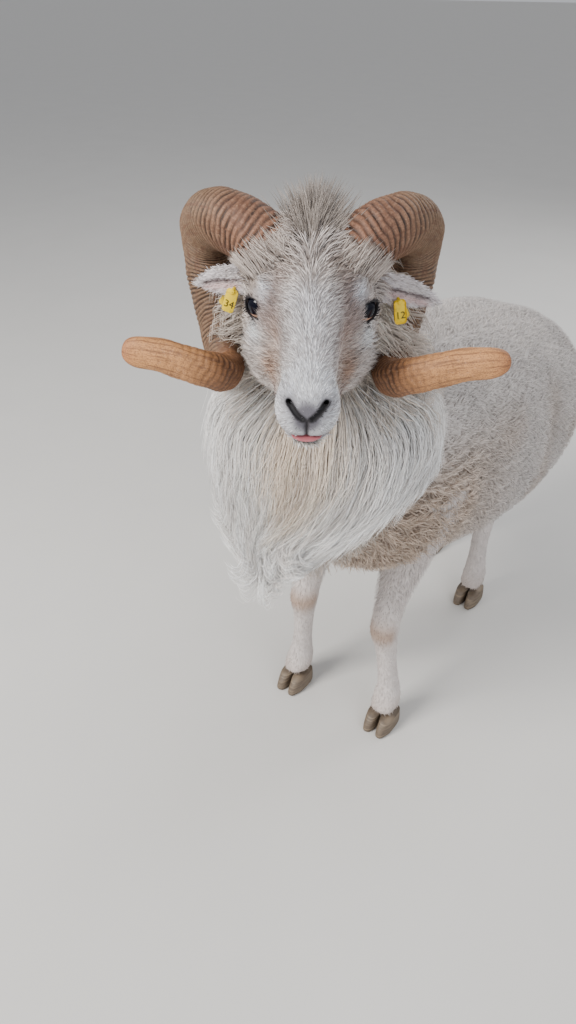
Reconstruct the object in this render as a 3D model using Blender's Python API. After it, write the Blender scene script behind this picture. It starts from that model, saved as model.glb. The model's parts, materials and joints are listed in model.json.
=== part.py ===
"""A standing Ouessant ram at life size: shorn body, long ruff, full spiral horns, head turned to its left.

Metres, +Z up. The body lies along Y and heads towards -Y, and the animal's left side is +X.
The floor is Z = 0, and the middle of the two front feet is at X = 0, Y = 0 before FRAME_SHIFT.
"""
import math
import random

import bmesh
import bpy
import numpy as np
from mathutils import Matrix, Vector
from mathutils.bvhtree import BVHTree

# Driving sizes
GAP = 0.0004  # between nodes that touch
SHORTEST_EDGE = 0.00025
THINNEST_FACE = 0.00004
FRAME_SHIFT = Vector((-0.0217, -0.1388, 0.0))  # brings the middle of the box's floor to the origin

EYES_AT = Vector((0.0285, -0.1282, 0.585))  # the point midway between the eyes
HEAD_YAW = 33.6  # degrees that the head turns to the animal's left
HEAD_PITCH = 15.0  # degrees that the nose points below level
HEAD_ROLL = 0.9  # degrees that the head leans to its left

EYE_RADIUS = 0.0130
EYE_SIDE = 0.0372  # from the middle of the head to an eyeball's centre
EYE_RISE = 0.0040
EYE_TURN = 38.0  # degrees from the nose's direction to the gaze
EYE_LIFT = 8.0  # degrees that the gaze rises
LID_THICK = 0.0022
EYE_SLIT = (0.0106, 0.0082)  # half of the opening's length and height

HEAD_RINGS = 27
HEAD_AROUND = 22
HORN_RINGS = 42
HORN_SPREAD = {"left": (0.985, 0.990), "right": (1.045, 0.935)}  # the circle's width and the tip's

EAR_LENGTH = {"left": 0.067, "right": 0.056}
EAR_WIDE = 0.027
EAR_THICK = 0.0030
EAR_ROOM = 0.0016  # between the neck's hair and an ear or its tag

TAG_PIN_RADIUS = 0.0014
TAG_OUT = {"left": 0.031, "right": 0.022}  # from the ear frame's origin to the pin
TAG_PIN_HEIGHT = -0.0085
TAG_FRONT = (0.0100, 0.0200)
TAG_REAR = (0.0085, 0.0205)

# The trunk, from breast to rump: place along Y, top, bottom, height of the widest line, half width
TORSO_ROWS = (
    (-0.080, 0.400, 0.310, 0.355, 0.036),
    (-0.062, 0.426, 0.268, 0.345, 0.062),
    (-0.030, 0.448, 0.232, 0.335, 0.085),
    (0.015, 0.464, 0.212, 0.325, 0.098),
    (0.065, 0.471, 0.200, 0.318, 0.104),
    (0.120, 0.474, 0.192, 0.310, 0.113),
    (0.190, 0.475, 0.182, 0.302, 0.124),
    (0.260, 0.471, 0.174, 0.296, 0.132),
    (0.320, 0.459, 0.174, 0.296, 0.134),
    (0.370, 0.444, 0.188, 0.304, 0.129),
    (0.410, 0.427, 0.214, 0.312, 0.117),
    (0.445, 0.402, 0.248, 0.318, 0.094),
    (0.468, 0.374, 0.278, 0.322, 0.060),
)
# The neck under its ruff, from the breast up: height, place of the axis in X and Y,
# half width, reach to the front and to the back, and turn in degrees
NECK_ROWS = (
    (0.302, -0.004, -0.096, 0.030, 0.022, 0.040, 20.0),
    (0.325, -0.003, -0.084, 0.054, 0.036, 0.075, 20.0),
    (0.362, -0.002, -0.070, 0.074, 0.052, 0.110, 21.0),
    (0.405, -0.001, -0.062, 0.085, 0.062, 0.112, 22.0),
    (0.450, -0.001, -0.058, 0.087, 0.066, 0.100, 25.0),
    (0.495, -0.002, -0.058, 0.080, 0.060, 0.078, 29.0),
    (0.535, -0.005, -0.062, 0.068, 0.050, 0.058, 33.0),
    (0.572, -0.010, -0.066, 0.058, 0.038, 0.044, 34.0),
    (0.600, -0.012, -0.066, 0.040, 0.026, 0.030, 34.0),
)
# The ruff's tiers of locks: root height, half of the arc they cover in degrees, count, length
RUFF_TIERS = (
    (0.545, 128.0, 7, 0.115),
    (0.500, 120.0, 8, 0.128),
    (0.455, 108.0, 8, 0.126),
    (0.410, 90.0, 7, 0.114),
    (0.362, 66.0, 5, 0.080),
)
RUFF_LIFT = 0.022  # how far a lock's outer half stands off the neck
# The nape's tiers: root height, half of the arc in degrees about the neck's back, count, length, lift
NAPE_TIERS = (
    (0.580, 78.0, 5, 0.080, 0.018),
    (0.532, 48.0, 4, 0.082, 0.034),
)
POLL_LOCKS = 10
LOCK_RINGS = 5
CLUMP_SPACING = 0.096
CLUMP_SIDES = 7
CLUMP_HALF = (0.058, 0.050)
CLUMP_ROOT = 0.0022  # how far a clump's rim lies under the core's surface
WOOL_RELIEF = 0.009  # from the trunk's core to the clumps' tops
# The head, in its own frame with the nose along -Y and the eyes' middle at the origin:
# place along Y, top, bottom, height of the widest line, half width
HEAD_ROWS = (
    (0.076, 0.016, -0.030, -0.008, 0.022),
    (0.066, 0.036, -0.052, -0.010, 0.039),
    (0.048, 0.050, -0.068, -0.014, 0.0480),
    (0.028, 0.053, -0.076, -0.020, 0.0515),
    (0.008, 0.047, -0.077, -0.026, 0.0510),
    (-0.012, 0.0395, -0.070, -0.028, 0.0470),
    (-0.030, 0.0335, -0.060, -0.026, 0.0395),
    (-0.046, 0.0285, -0.052, -0.024, 0.0320),
    (-0.062, 0.0240, -0.0480, -0.022, 0.0272),
    (-0.078, 0.0190, -0.0460, -0.021, 0.0255),
    (-0.091, 0.0125, -0.0450, -0.019, 0.0250),
    (-0.100, 0.0035, -0.0430, -0.019, 0.0230),
    (-0.107, -0.0050, -0.0405, -0.020, 0.0185),
    (-0.1115, -0.0120, -0.0365, -0.022, 0.0120),
)
# A horn in the level frame of the head: side, back, up, half width across its curve, half thickness
HORN_ROWS = (
    (0.022, 0.020, 0.026, 0.0250, 0.0215),
    (0.042, 0.030, 0.045, 0.0255, 0.0220),
    (0.067, 0.053, 0.051, 0.0245, 0.0215),
    (0.085, 0.082, 0.041, 0.0235, 0.0205),
    (0.0895, 0.102, 0.014, 0.0220, 0.0190),
    (0.0885, 0.104, -0.020, 0.0200, 0.0170),
    (0.079, 0.080, -0.051, 0.0180, 0.0155),
    (0.071, 0.040, -0.064, 0.0165, 0.0140),
    (0.070, 0.004, -0.058, 0.0152, 0.0130),
    (0.088, -0.015, -0.046, 0.0145, 0.0118),
    (0.120, -0.020, -0.035, 0.0136, 0.0104),
    (0.158, -0.022, -0.029, 0.0118, 0.0088),
)
# Between the lips: place along Y, height, half of the opening
MOUTH_ROWS = (
    (-0.064, -0.0270, 0.0005),
    (-0.085, -0.0300, 0.0009),
    (-0.098, -0.0320, 0.0023),
    (-0.130, -0.0340, 0.0028),
)
NOSTRIL_ROWS = (
    (0.0118, -0.0920, -0.0085, 0.0024),
    (0.0135, -0.0985, -0.0040, 0.0028),
    (0.0133, -0.1015, -0.0020, 0.0026),
    (0.0105, -0.1070, -0.0065, 0.0022),
    (0.0065, -0.1115, -0.0110, 0.0018),
    (0.0025, -0.1135, -0.0145, 0.0014),
)
# A front leg from inside the shoulder to the coronet: height, side, place along Y, half width, half depth
FRONT_LEG_ROWS = (
    (0.345, 0.060, 0.052, 0.040, 0.056),
    (0.305, 0.060, 0.050, 0.036, 0.048),
    (0.270, 0.057, 0.043, 0.031, 0.040),
    (0.235, 0.054, 0.030, 0.026, 0.031),
    (0.205, 0.053, 0.014, 0.0205, 0.0245),
    (0.175, 0.053, 0.001, 0.0180, 0.0200),
    (0.155, 0.053, -0.003, 0.0180, 0.0190),
    (0.130, 0.055, 0.000, 0.0148, 0.0160),
    (0.095, 0.058, 0.003, 0.0135, 0.0145),
    (0.065, 0.061, 0.005, 0.0150, 0.0160),
    (0.046, 0.062, 0.004, 0.0185, 0.0195),
    (0.028, 0.063, -0.004, 0.0190, 0.0215),
)
FRONT_LEG_CUT = 0.192  # height where a front leg leaves the trunk
# A hind leg from inside the thigh to the coronet
HIND_LEG_ROWS = (
    (0.360, 0.062, 0.375, 0.046, 0.074),
    (0.310, 0.064, 0.368, 0.045, 0.068),
    (0.270, 0.063, 0.362, 0.038, 0.056),
    (0.235, 0.060, 0.368, 0.030, 0.043),
    (0.205, 0.057, 0.385, 0.0225, 0.031),
    (0.180, 0.055, 0.404, 0.0170, 0.0240),
    (0.160, 0.054, 0.412, 0.0165, 0.0235),
    (0.135, 0.054, 0.405, 0.0150, 0.0185),
    (0.100, 0.054, 0.399, 0.0138, 0.0155),
    (0.068, 0.055, 0.397, 0.0150, 0.0165),
    (0.047, 0.056, 0.394, 0.0182, 0.0192),
    (0.028, 0.057, 0.385, 0.0188, 0.0212),
)
HIND_LEG_CUT = 0.160
HOCK_HEIGHT = 0.155
STEPS = {  # how far each foot stands from its row's place, in X and Y
    "front_left": (0.002, 0.004),
    "front_right": (0.004, -0.004),
    "hind_left": (-0.006, -0.095),
    "hind_right": (0.000, -0.010),
}
HOOF_LENGTH = 0.046
HOOF_HALF_WIDE = 0.0185
HOOF_CLEFT = 0.0012

SKIN_COLOURS = {
    "fleece": ((0.60, 0.55, 0.50), 0.95),
    "ruff_hair": ((0.72, 0.68, 0.62), 0.80),
    "face_hair": ((0.66, 0.62, 0.58), 0.90),
    "leg_hair": ((0.68, 0.62, 0.58), 0.90),
    "horn": ((0.42, 0.26, 0.16), 0.55),
    "hoof": ((0.16, 0.13, 0.11), 0.50),
    "eye": ((0.02, 0.015, 0.01), 0.10),
    "tongue": ((0.62, 0.30, 0.30), 0.45),
    "tag_plastic": ((0.90, 0.68, 0.02), 0.45),
}


def material(name):
    """The material of that name, made once."""
    if name in bpy.data.materials:
        return bpy.data.materials[name]
    colour, roughness = SKIN_COLOURS[name]
    made = bpy.data.materials.new(name)
    made.use_nodes = True
    shader = made.node_tree.nodes["Principled BSDF"]
    shader.inputs["Base Color"].default_value = (*colour, 1.0)
    shader.inputs["Roughness"].default_value = roughness
    return made


def collection(name):
    if name in bpy.data.collections:
        return bpy.data.collections[name]
    made = bpy.data.collections.new(name)
    bpy.context.scene.collection.children.link(made)
    return made


def through(rows, count):
    """`count` rows read at even steps off a smooth curve through the given rows."""
    rows = np.asarray(rows, float)
    steps = np.linspace(0.0, len(rows) - 1.0, count)
    first = np.clip(np.floor(steps).astype(int), 0, len(rows) - 2)
    t = (steps - first)[:, None]
    start, end = rows[first], rows[first + 1]
    before = rows[np.maximum(first - 1, 0)]
    after = rows[np.minimum(first + 2, len(rows) - 1)]
    slope_in, slope_out = (end - before) / 2, (after - start) / 2
    return (
        (2 * t**3 - 3 * t**2 + 1) * start
        + (t**3 - 2 * t**2 + t) * slope_in
        + (3 * t**2 - 2 * t**3) * end
        + (t**3 - t**2) * slope_out
    )


def mesh_object(name, points, faces, where):
    """A mesh object of these points and faces, its normals made to point out."""
    mesh = bpy.data.meshes.new(name)
    mesh.from_pydata([tuple(map(float, p)) for p in points], [], faces)
    work = bmesh.new()
    work.from_mesh(mesh)
    bmesh.ops.recalc_face_normals(work, faces=work.faces)
    if work.calc_volume(signed=True) < 0:
        bmesh.ops.reverse_faces(work, faces=work.faces)
    work.to_mesh(mesh)
    work.free()
    made = bpy.data.objects.new(name, mesh)
    where.objects.link(made)
    return made


def loft(name, rings, where, flat_start=False):
    """A closed solid of triangles through rings of equal length. Each end closes on a point a little past
    its ring, or on one in the plane of the ring where the start is flat."""
    count = len(rings[0])
    points = [p for ring in rings for p in ring]
    faces = []
    for i in range(len(rings) - 1):
        for j in range(count):
            k = (j + 1) % count
            near, next_near = i * count + j, i * count + k
            far, next_far = near + count, next_near + count
            faces += [(near, next_near, next_far), (near, next_far, far)]
    for i, inner in ((0, 1), (len(rings) - 1, len(rings) - 2)):
        middle = np.mean(rings[i], axis=0)
        if not (flat_start and i == 0):
            middle = middle + 0.35 * (middle - np.mean(rings[inner], axis=0))
        points.append(middle)
        pole = len(points) - 1
        faces += [(i * count + j, i * count + (j + 1) % count, pole) for j in range(count)]
    return mesh_object(name, points, faces, where)


def prism(name, rings, where):
    """A closed solid between two or more rings of equal length, with flat ends."""
    count = len(rings[0])
    points = [p for ring in rings for p in ring]
    last = (len(rings) - 1) * count
    faces = [tuple(range(count)), tuple(range(last, last + count))]
    for i in range(len(rings) - 1):
        for j in range(count):
            k = (j + 1) % count
            faces.append((i * count + j, i * count + k, (i + 1) * count + k, (i + 1) * count + j))
    return mesh_object(name, points, faces, where)


def oval(count, half_wide, up, down, squareness=1.0):
    """A ring as (side, height) pairs: an ellipse whose upper and lower halves have their own heights."""
    angles = np.linspace(0.0, 2 * math.pi, count, endpoint=False)
    side, rise = np.cos(angles), np.sin(angles)
    side = np.sign(side) * np.abs(side) ** squareness * half_wide
    rise = np.sign(rise) * np.abs(rise) ** squareness
    return np.stack([side, np.where(rise > 0, rise * up, rise * down)], axis=1)


def apply_modifier(made, modifier):
    """Leaves the object with its evaluated mesh and no modifier."""
    graph = bpy.context.evaluated_depsgraph_get()
    mesh = bpy.data.meshes.new_from_object(made.evaluated_get(graph))
    made.modifiers.remove(modifier)
    made.data = mesh


def keep_largest(work):
    """Drops every loose scrap and sealed hollow, so that one closed surface is left."""
    left, groups = set(work.faces), []
    while left:
        seed = left.pop()
        group, rim = [seed], [seed]
        while rim:
            for edge in rim.pop().edges:
                for face in edge.link_faces:
                    if face in left:
                        left.discard(face)
                        group.append(face)
                        rim.append(face)
        groups.append(group)
    groups.sort(key=len)
    loose = [face for group in groups[:-1] for face in group]
    bmesh.ops.delete(work, geom=loose, context="FACES")


def draw_together(work, edge):
    """Merges an edge's ends at its middle, if the surface stays closed."""
    a, b = edge.verts
    tips = {v for face in edge.link_faces for v in face.verts} - {a, b}
    shared = {e.other_vert(a) for e in a.link_edges} & {e.other_vert(b) for e in b.link_edges}
    if len(edge.link_faces) != 2 or len(tips) != 2 or shared != tips:
        return False
    bmesh.ops.pointmerge(work, verts=[a, b], merge_co=(a.co + b.co) / 2)
    return True


def shorten(work):
    """Draws very short edges together."""
    short = [edge for edge in work.edges if edge.calc_length() < SHORTEST_EDGE]
    return sum(e.is_valid and e.calc_length() < SHORTEST_EDGE and draw_together(work, e) for e in short)


def flip_needles(work):
    """Turns the long edge of each needle-thin triangle, so that its point joins the face beyond.
    Where that can't be, its shortest edge is drawn together."""
    done = 0
    for face in list(work.faces):
        if not face.is_valid:
            continue
        edge = max(face.edges, key=lambda e: e.calc_length())
        if 2 * face.calc_area() >= THINNEST_FACE * edge.calc_length():
            continue
        point = next(v for v in face.verts if v not in edge.verts)
        beyond = next(f for f in edge.link_faces if f is not face)
        far = next(v for v in beyond.verts if v not in edge.verts)
        if far is point or any(e.other_vert(point) is far for e in point.link_edges):
            short = [e for e in face.edges if e.calc_length() < 3 * SHORTEST_EDGE]
            short.sort(key=lambda e: e.calc_length())
            done += any(draw_together(work, e) for e in short)
            continue
        bmesh.utils.edge_rotate(edge, True)
        done += 1
    return done


def as_triangles(mesh):
    """Points and triangles of a mesh. A many-sided face is cut to a fan from its middle where a plain cut
    would lie along an edge of the mesh."""
    mesh.calc_loop_triangles()
    points = [tuple(v.co) for v in mesh.vertices]
    known = {frozenset(edge.vertices) for edge in mesh.edges}
    cuts = [[] for _ in mesh.polygons]
    for piece in mesh.loop_triangles:
        cuts[piece.polygon_index].append(tuple(piece.vertices))
    faces = []
    for face, pieces in zip(mesh.polygons, cuts):
        own = {frozenset(key) for key in face.edge_keys}
        inner = {frozenset((t[i], t[i - 1])) for t in pieces for i in range(3)} - own
        if inner & known:
            corners = list(face.vertices)
            points.append(tuple(face.center))
            pieces = [(corners[i - 1], corners[i], len(points) - 1) for i in range(len(corners))]
        known |= inner
        faces += pieces
    return points, faces


def clean(made):
    """One closed surface of triangles, none of them too small to be stored."""
    points, faces = as_triangles(made.data)
    mesh = bpy.data.meshes.new(made.name)
    mesh.from_pydata(points, [], faces)
    work = bmesh.new()
    work.from_mesh(mesh)
    keep_largest(work)
    for _ in range(8):
        if not shorten(work) + flip_needles(work):
            break
    keep_largest(work)
    work.to_mesh(mesh)
    work.free()
    made.data = mesh


def combine(made, operation, others):
    """Joins the other objects to this one, or cuts them from it, and removes them."""
    pieces = collection("cutters" if operation == "DIFFERENCE" else "pieces")
    for other in others:
        for home in list(other.users_collection):
            home.objects.unlink(other)
        pieces.objects.link(other)
    modifier = made.modifiers.new("combine", "BOOLEAN")
    modifier.operation = operation
    modifier.operand_type = "COLLECTION"
    modifier.collection = pieces
    modifier.solver = "MANIFOLD"
    apply_modifier(made, modifier)
    for other in list(pieces.objects):
        bpy.data.objects.remove(other)
    clean(made)
    return made


def finish(made, slot):
    """Shifts a finished node into the part's frame and gives it its material."""
    made.data.transform(Matrix.Translation(FRAME_SHIFT))
    made.data.materials.clear()
    made.data.materials.append(material(slot))
    made.data.shade_smooth()
    made.data.set_sharp_from_angle(angle=math.radians(50))
    return made


def head_frame(pitch=HEAD_PITCH, roll=HEAD_ROLL):
    """From the head's own frame to the animal's."""
    return (
        Matrix.Translation(EYES_AT)
        @ Matrix.Rotation(math.radians(HEAD_YAW), 4, "Z")
        @ Matrix.Rotation(math.radians(roll), 4, "Y")
        @ Matrix.Rotation(math.radians(pitch), 4, "X")
    )


def place(rings, frame):
    turn, shift = np.array(frame.to_3x3()), np.array(frame.translation)
    return [np.asarray(ring) @ turn.T + shift for ring in rings]


# The trunk and what meets it


def torso_rings(count, around, grow=0.0):
    rings = []
    for y, top, bottom, widest, half in through(TORSO_ROWS, count):
        ring = oval(around, half + grow, top - widest + grow, widest - bottom + grow, 0.88)
        rings.append([(x, y, widest + z) for x, z in ring])
    return rings


def leg_rings(rows, side, step, count, around, grow=0.0):
    """A leg's level rings. All below the hock or knee takes the whole step, and the hip none of it."""
    top = rows[0][0]
    rings = []
    for z, x, y, half_wide, half_deep in through(rows, count):
        share = min(1.0, (top - z) / (top - HOCK_HEIGHT))
        ring = oval(around, half_wide + grow, half_deep + grow, half_deep + grow, 0.95)
        rings.append([(side * (x + share * step[0]) + px, y + share * step[1] + py, z) for px, py in ring])
    return rings


def split_leg(rings, height):
    """The rings above the cut, closed at it, and those below it, GAP lower."""
    upper = [ring for ring in rings if ring[0][2] > height + 0.004]
    lower = [ring for ring in rings if ring[0][2] < height - 0.004]
    share = (upper[-1][0][2] - height) / (upper[-1][0][2] - lower[0][0][2])
    at = np.array(upper[-1]) * (1 - share) + np.array(lower[0]) * share
    return upper + [at], [at - np.array((0.0, 0.0, GAP))] + lower


def leg_table():
    for name, step in STEPS.items():
        front = name.startswith("front")
        side = 1.0 if name.endswith("left") else -1.0
        rows, cut = (FRONT_LEG_ROWS, FRONT_LEG_CUT) if front else (HIND_LEG_ROWS, HIND_LEG_CUT)
        yield name, side, step, rows, cut


def trunk(parts, name, grow=0.0):
    """The trunk below its clumps."""
    return loft(name, torso_rings(18, 18, grow - WOOL_RELIEF), parts)


def trunk_core(parts, name, grow=0.0):
    """The trunk with the upper ends of the four legs."""
    core = trunk(parts, name, grow)
    stubs = []
    for label, side, step, rows, cut in leg_table():
        upper, _ = split_leg(leg_rings(rows, side, step, 20, 12, grow), cut)
        stubs.append(loft("stub_" + label, upper[::-1], parts, flat_start=True))
    return combine(core, "UNION", stubs)


def clump_aims():
    """Middles of the clumps' rays and their ways out: rows round the trunk, each offset from the last, and
    four more on the rump."""
    at = [row[0] for row in TORSO_ROWS]
    aims = []
    for i, y in enumerate(np.arange(at[1] + 0.030, at[-1], CLUMP_SPACING * 0.9)):
        top, bottom, middle, half = (np.interp(y, at, [row[k] for row in TORSO_ROWS]) for k in (1, 2, 3, 4))
        count = max(6, round(math.pi * (half + (top - bottom) / 2) / CLUMP_SPACING))
        for j in range(count):
            angle = 2 * math.pi * (j + 0.5 * (i % 2) + random.uniform(-0.12, 0.12)) / count
            out = Vector((math.cos(angle), 0.25 * max(0.0, (y - 0.36) / 0.1), math.sin(angle))).normalized()
            aims.append((Vector((0.0, y + random.uniform(-0.005, 0.005), middle)), out))
    for x, z in ((0.0, 0.035), (0.045, 0.0), (-0.045, 0.0), (0.0, -0.040)):
        aims.append((Vector((x * 0.6, 0.42, 0.330 + z * 0.6)), Vector((x * 2, 0.3, z * 2)).normalized()))
    return aims


def clump_places(tree):
    """Places and slopes for the clumps on the trunk, apart from what the ruff and the legs cover."""
    places = []
    for middle, out in clump_aims():
        spot, slope, _, _ = tree.ray_cast(middle + out * 0.4, -out)
        under_ruff = spot is None or spot.y < 0.005 and abs(spot.x) < 0.075 or spot.y < -0.045
        on_leg = spot.z < 0.222 and spot.y < 0.075 or spot.z < 0.180 and abs(slope.z) < 0.6
        if not under_ruff and not on_leg:
            places.append((spot, slope))
    return places


def clumps(coat, parts, grow=0.0):
    """A rounded clump of short wool on each place, bent to the trunk and lying back along it."""
    tree, places = coat
    made = []
    draw = random.Random(11)
    for spot, slope in places:
        scale = draw.uniform(0.90, 1.12)
        lean = draw.uniform(0.06, 0.22)
        back = Vector((0.0, 1.0, -0.35)) - slope * slope.dot(Vector((0.0, 1.0, -0.35)))
        back.normalize()
        across = slope.cross(back)
        clump = ball("clump", 1.0, Matrix.Identity(4), parts, CLUMP_SIDES, 4)
        work = bmesh.new()
        work.from_mesh(clump.data)
        bmesh.ops.triangulate(work, faces=work.faces, quad_method="FIXED")
        for vert in work.verts:
            u, v, w = vert.co
            rise = WOOL_RELIEF + CLUMP_ROOT if w > 0 else 2 * CLUMP_ROOT
            long, wide = (half * scale for half in CLUMP_HALF)
            foot, way, _, _ = tree.find_nearest(spot + back * (u + lean * w) * long + across * v * wide)
            vert.co = foot + way * (w * rise - CLUMP_ROOT + grow)
        work.to_mesh(clump.data)
        work.free()
        made.append(clump)
    return made


def build_torso(coat, parts):
    torso = trunk_core(parts, "torso")
    combine(torso, "UNION", clumps(coat, parts))
    return finish(torso, "fleece")


def clear_of_torso(coat, parts):
    return [trunk_core(parts, "clear_torso", GAP)] + clumps(coat, parts, 2 * GAP)


def build_legs(parts):
    legs = []
    for name, side, step, rows, cut in leg_table():
        _, lower = split_leg(leg_rings(rows, side, step, 20, 12), cut)
        leg = loft("leg_" + name, lower, parts, flat_start=True)
        legs.append(finish(leg, "leg_hair"))
    return legs


def build_hooves(parts):
    """Two claws to a foot, each a wedge that is longest at its sole."""
    for name, side, step, rows, _ in leg_table():
        z, x, y, _, _ = rows[-1]
        foot_x, foot_y = side * (x + step[0]), y + step[1]
        for half, label in ((1.0, "outer"), (-1.0, "inner")):
            rings = []
            for height, reach_front, reach_back, wide in (
                (0.0, 0.62, 0.40, 1.00),
                (0.004, 0.62, 0.41, 1.00),
                (0.012, 0.55, 0.42, 0.99),
                (z - 0.0075 - GAP, 0.40, 0.42, 0.94),
            ):
                ring = oval(10, HOOF_HALF_WIDE * wide / 2 - HOOF_CLEFT / 2,
                            HOOF_LENGTH * reach_back, HOOF_LENGTH * reach_front, 0.72)
                middle = foot_x + side * half * (HOOF_HALF_WIDE * wide / 2 + HOOF_CLEFT / 2)
                rings.append([(middle + px, foot_y + py, height) for px, py in ring])
            claw = prism(f"hoof_{name}_{label}", rings, parts)
            finish(claw, "hoof")


def build_tail(coat, parts):
    rows = (
        (0.4406, 0.396, 0.018, 0.013),
        (0.4666, 0.390, 0.023, 0.017),
        (0.4866, 0.368, 0.024, 0.016),
        (0.4956, 0.338, 0.021, 0.014),
        (0.4976, 0.308, 0.016, 0.011),
        (0.4946, 0.284, 0.008, 0.006),
    )
    rings = []
    for y, z, half_wide, half_thick in through(rows, 12):
        rings.append([(px, y + pz, z - 0.3 * pz) for px, pz in oval(14, half_wide, half_thick, half_thick)])
    tail = loft("tail", rings, parts)
    combine(tail, "DIFFERENCE", clear_of_torso(coat, parts))
    return finish(tail, "fleece")


# The neck with its ruff


def neck_rings(count, around, grow=0.0):
    rings = []
    for z, x, y, half, front, back, turn in through(NECK_ROWS, count):
        c, s = math.cos(math.radians(turn)), math.sin(math.radians(turn))
        ring = oval(around, half + grow, back + grow, front + grow, 0.95)
        rings.append([(x + px * c - py * s, y + px * s + py * c, z) for px, py in ring])
    return rings


def lock(path, outward, half_wide, half_thick, parts):
    """A flat tapering lock of hair along a path, one broad side to the given direction."""
    path = np.asarray(path, float)
    along = np.gradient(path, axis=0)
    along /= np.linalg.norm(along, axis=1)[:, None]
    rings = []
    for i, (point, way) in enumerate(zip(path, along)):
        t = i / (len(path) - 1)
        across = np.cross(way, outward)
        across /= np.linalg.norm(across)
        out = np.cross(across, way)
        w = half_wide * (0.80 + 0.35 * math.sin(math.pi * min(1.0, 1.4 * t))) * (1.0 - t**2.4) + 0.0016
        h = half_thick * (1.0 - t**2.0) + 0.0010
        rings.append([point + across * w, point + out * h, point - across * w, point - out * h])
    return loft("lock", rings, parts)


def neck_point(z, turn, off):
    """A point off the neck's surface at a height and at an angle from its front. Below the neck it stays
    on the lowest section."""
    heights = [row[0] for row in NECK_ROWS]
    held = min(max(z, heights[0]), heights[-1])
    x, y, half, front, back, lean = (
        np.interp(held, heights, [row[k] for row in NECK_ROWS]) for k in range(1, 7)
    )
    a = math.radians(turn)
    side, fore = math.sin(a), math.cos(a)
    deep = front if fore > 0 else back
    reach = 1.0 / math.sqrt((side / half) ** 2 + (fore / deep) ** 2) + off
    c, s = math.cos(math.radians(lean)), math.sin(math.radians(lean))
    px, py = side * reach, -fore * reach
    out = np.array((side * c + fore * s, side * s - fore * c, 0.0))
    return np.array((x + px * c - py * s, y + px * s + py * c, z)), out


def ruff_locks(parts):
    """Tiers of long flat locks that fall from the throat and spread over the breast."""
    draw = random.Random(5)
    made = []
    for tier, (root, arc, count, length) in enumerate(RUFF_TIERS):
        for k in range(count):
            turn = arc * (2 * (k + 0.5 * (tier % 2) + 0.25) / count - 1) + draw.uniform(-4, 4)
            sway = draw.uniform(-13, 13) - 0.05 * turn
            size = length * draw.uniform(0.88, 1.10)
            lift = RUFF_LIFT * (1.25 - 0.15 * tier + 0.14 * (k % 2))
            path = []
            for t in np.linspace(0.0, 1.0, LOCK_RINGS):
                off = -0.006 + (lift + 0.006) * math.sin(math.radians(90) * min(1.0, 1.8 * t)) + 0.007 * t**4
                point, out = neck_point(root - size * (t - 0.10 * t * t), turn + sway * t * t, off)
                path.append(point)
            made.append(lock(path, out, draw.uniform(0.0180, 0.0225), 0.0055, parts))
    return made


def nape_locks(parts):
    """Shorter locks on the neck's back, from inside the horns' circles down to the withers."""
    draw = random.Random(4)
    made = []
    for root, arc, count, length, lift in NAPE_TIERS:
        for k in range(count):
            turn = 180.0 + arc * (2 * (k + 0.5) / count - 1) + draw.uniform(-4, 4)
            path = []
            for t in np.linspace(0.0, 1.0, LOCK_RINGS):
                off = -0.005 + (lift + 0.005) * math.sin(math.radians(80) * t)
                point, out = neck_point(root - length * t, turn, off)
                path.append(point)
            made.append(lock(path, out, 0.0200, 0.0055, parts))
    return made


def build_neck(coat, parts):
    neck = loft("neck", neck_rings(14, 18), parts)
    combine(neck, "UNION", ruff_locks(parts) + nape_locks(parts))
    clear = clear_of_torso(coat, parts)
    clear.append(clear_head(parts))
    for label in HORN_SPREAD:
        clear.append(loft("clear_horn", horn_rings(label, HORN_RINGS, 10, GAP), parts))
        clear.append(loft("clear_ear", ear_rings(label, EAR_ROOM), parts))
        clear += tag_pieces(label, parts, EAR_ROOM)
    combine(neck, "DIFFERENCE", clear)
    return finish(neck, "ruff_hair")


# The head and what it carries


def head_rings(count, around, grow=0.0):
    """The skull's form with flesh and short hair. The orbits and cheeks swell from the plain section."""
    rings = []
    for y, top, bottom, widest, half in through(HEAD_ROWS, count):
        ring = []
        for px, pz in oval(around, half + grow, top - widest + grow, widest - bottom + grow, 0.92):
            z = widest + pz
            orbit = math.exp(-((y - 0.001) / 0.019) ** 2 - ((z - EYE_RISE - 0.004) / 0.016) ** 2)
            side = px + math.copysign(0.0055 * orbit * min(1.0, abs(px) / 0.02), px)
            ring.append((side, y, z))
        rings.append(ring)
    return rings


def clear_head(parts):
    """What a neighbour of the head is cut with."""
    return loft("clear_head", place(head_rings(HEAD_RINGS, HEAD_AROUND, GAP), head_frame()), parts)


def sweep(name, rows, around, frame, parts):
    """A round bar through the rows of X, Y, Z and radius, closed by blunt ends."""
    rows = np.asarray(rows, float)
    along = np.gradient(rows[:, :3], axis=0)
    along /= np.linalg.norm(along, axis=1)[:, None]
    wide = np.array((0.31, 0.17, 0.93))
    rings = []
    for row, way in zip(rows, along):
        wide = wide - way * np.dot(wide, way)
        wide /= np.linalg.norm(wide)
        thick = np.cross(way, wide)
        rings.append([row[:3] + u * wide + v * thick for u, v in oval(around, row[3], row[3], row[3])])
    return loft(name, place(rings, frame), parts)


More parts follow.
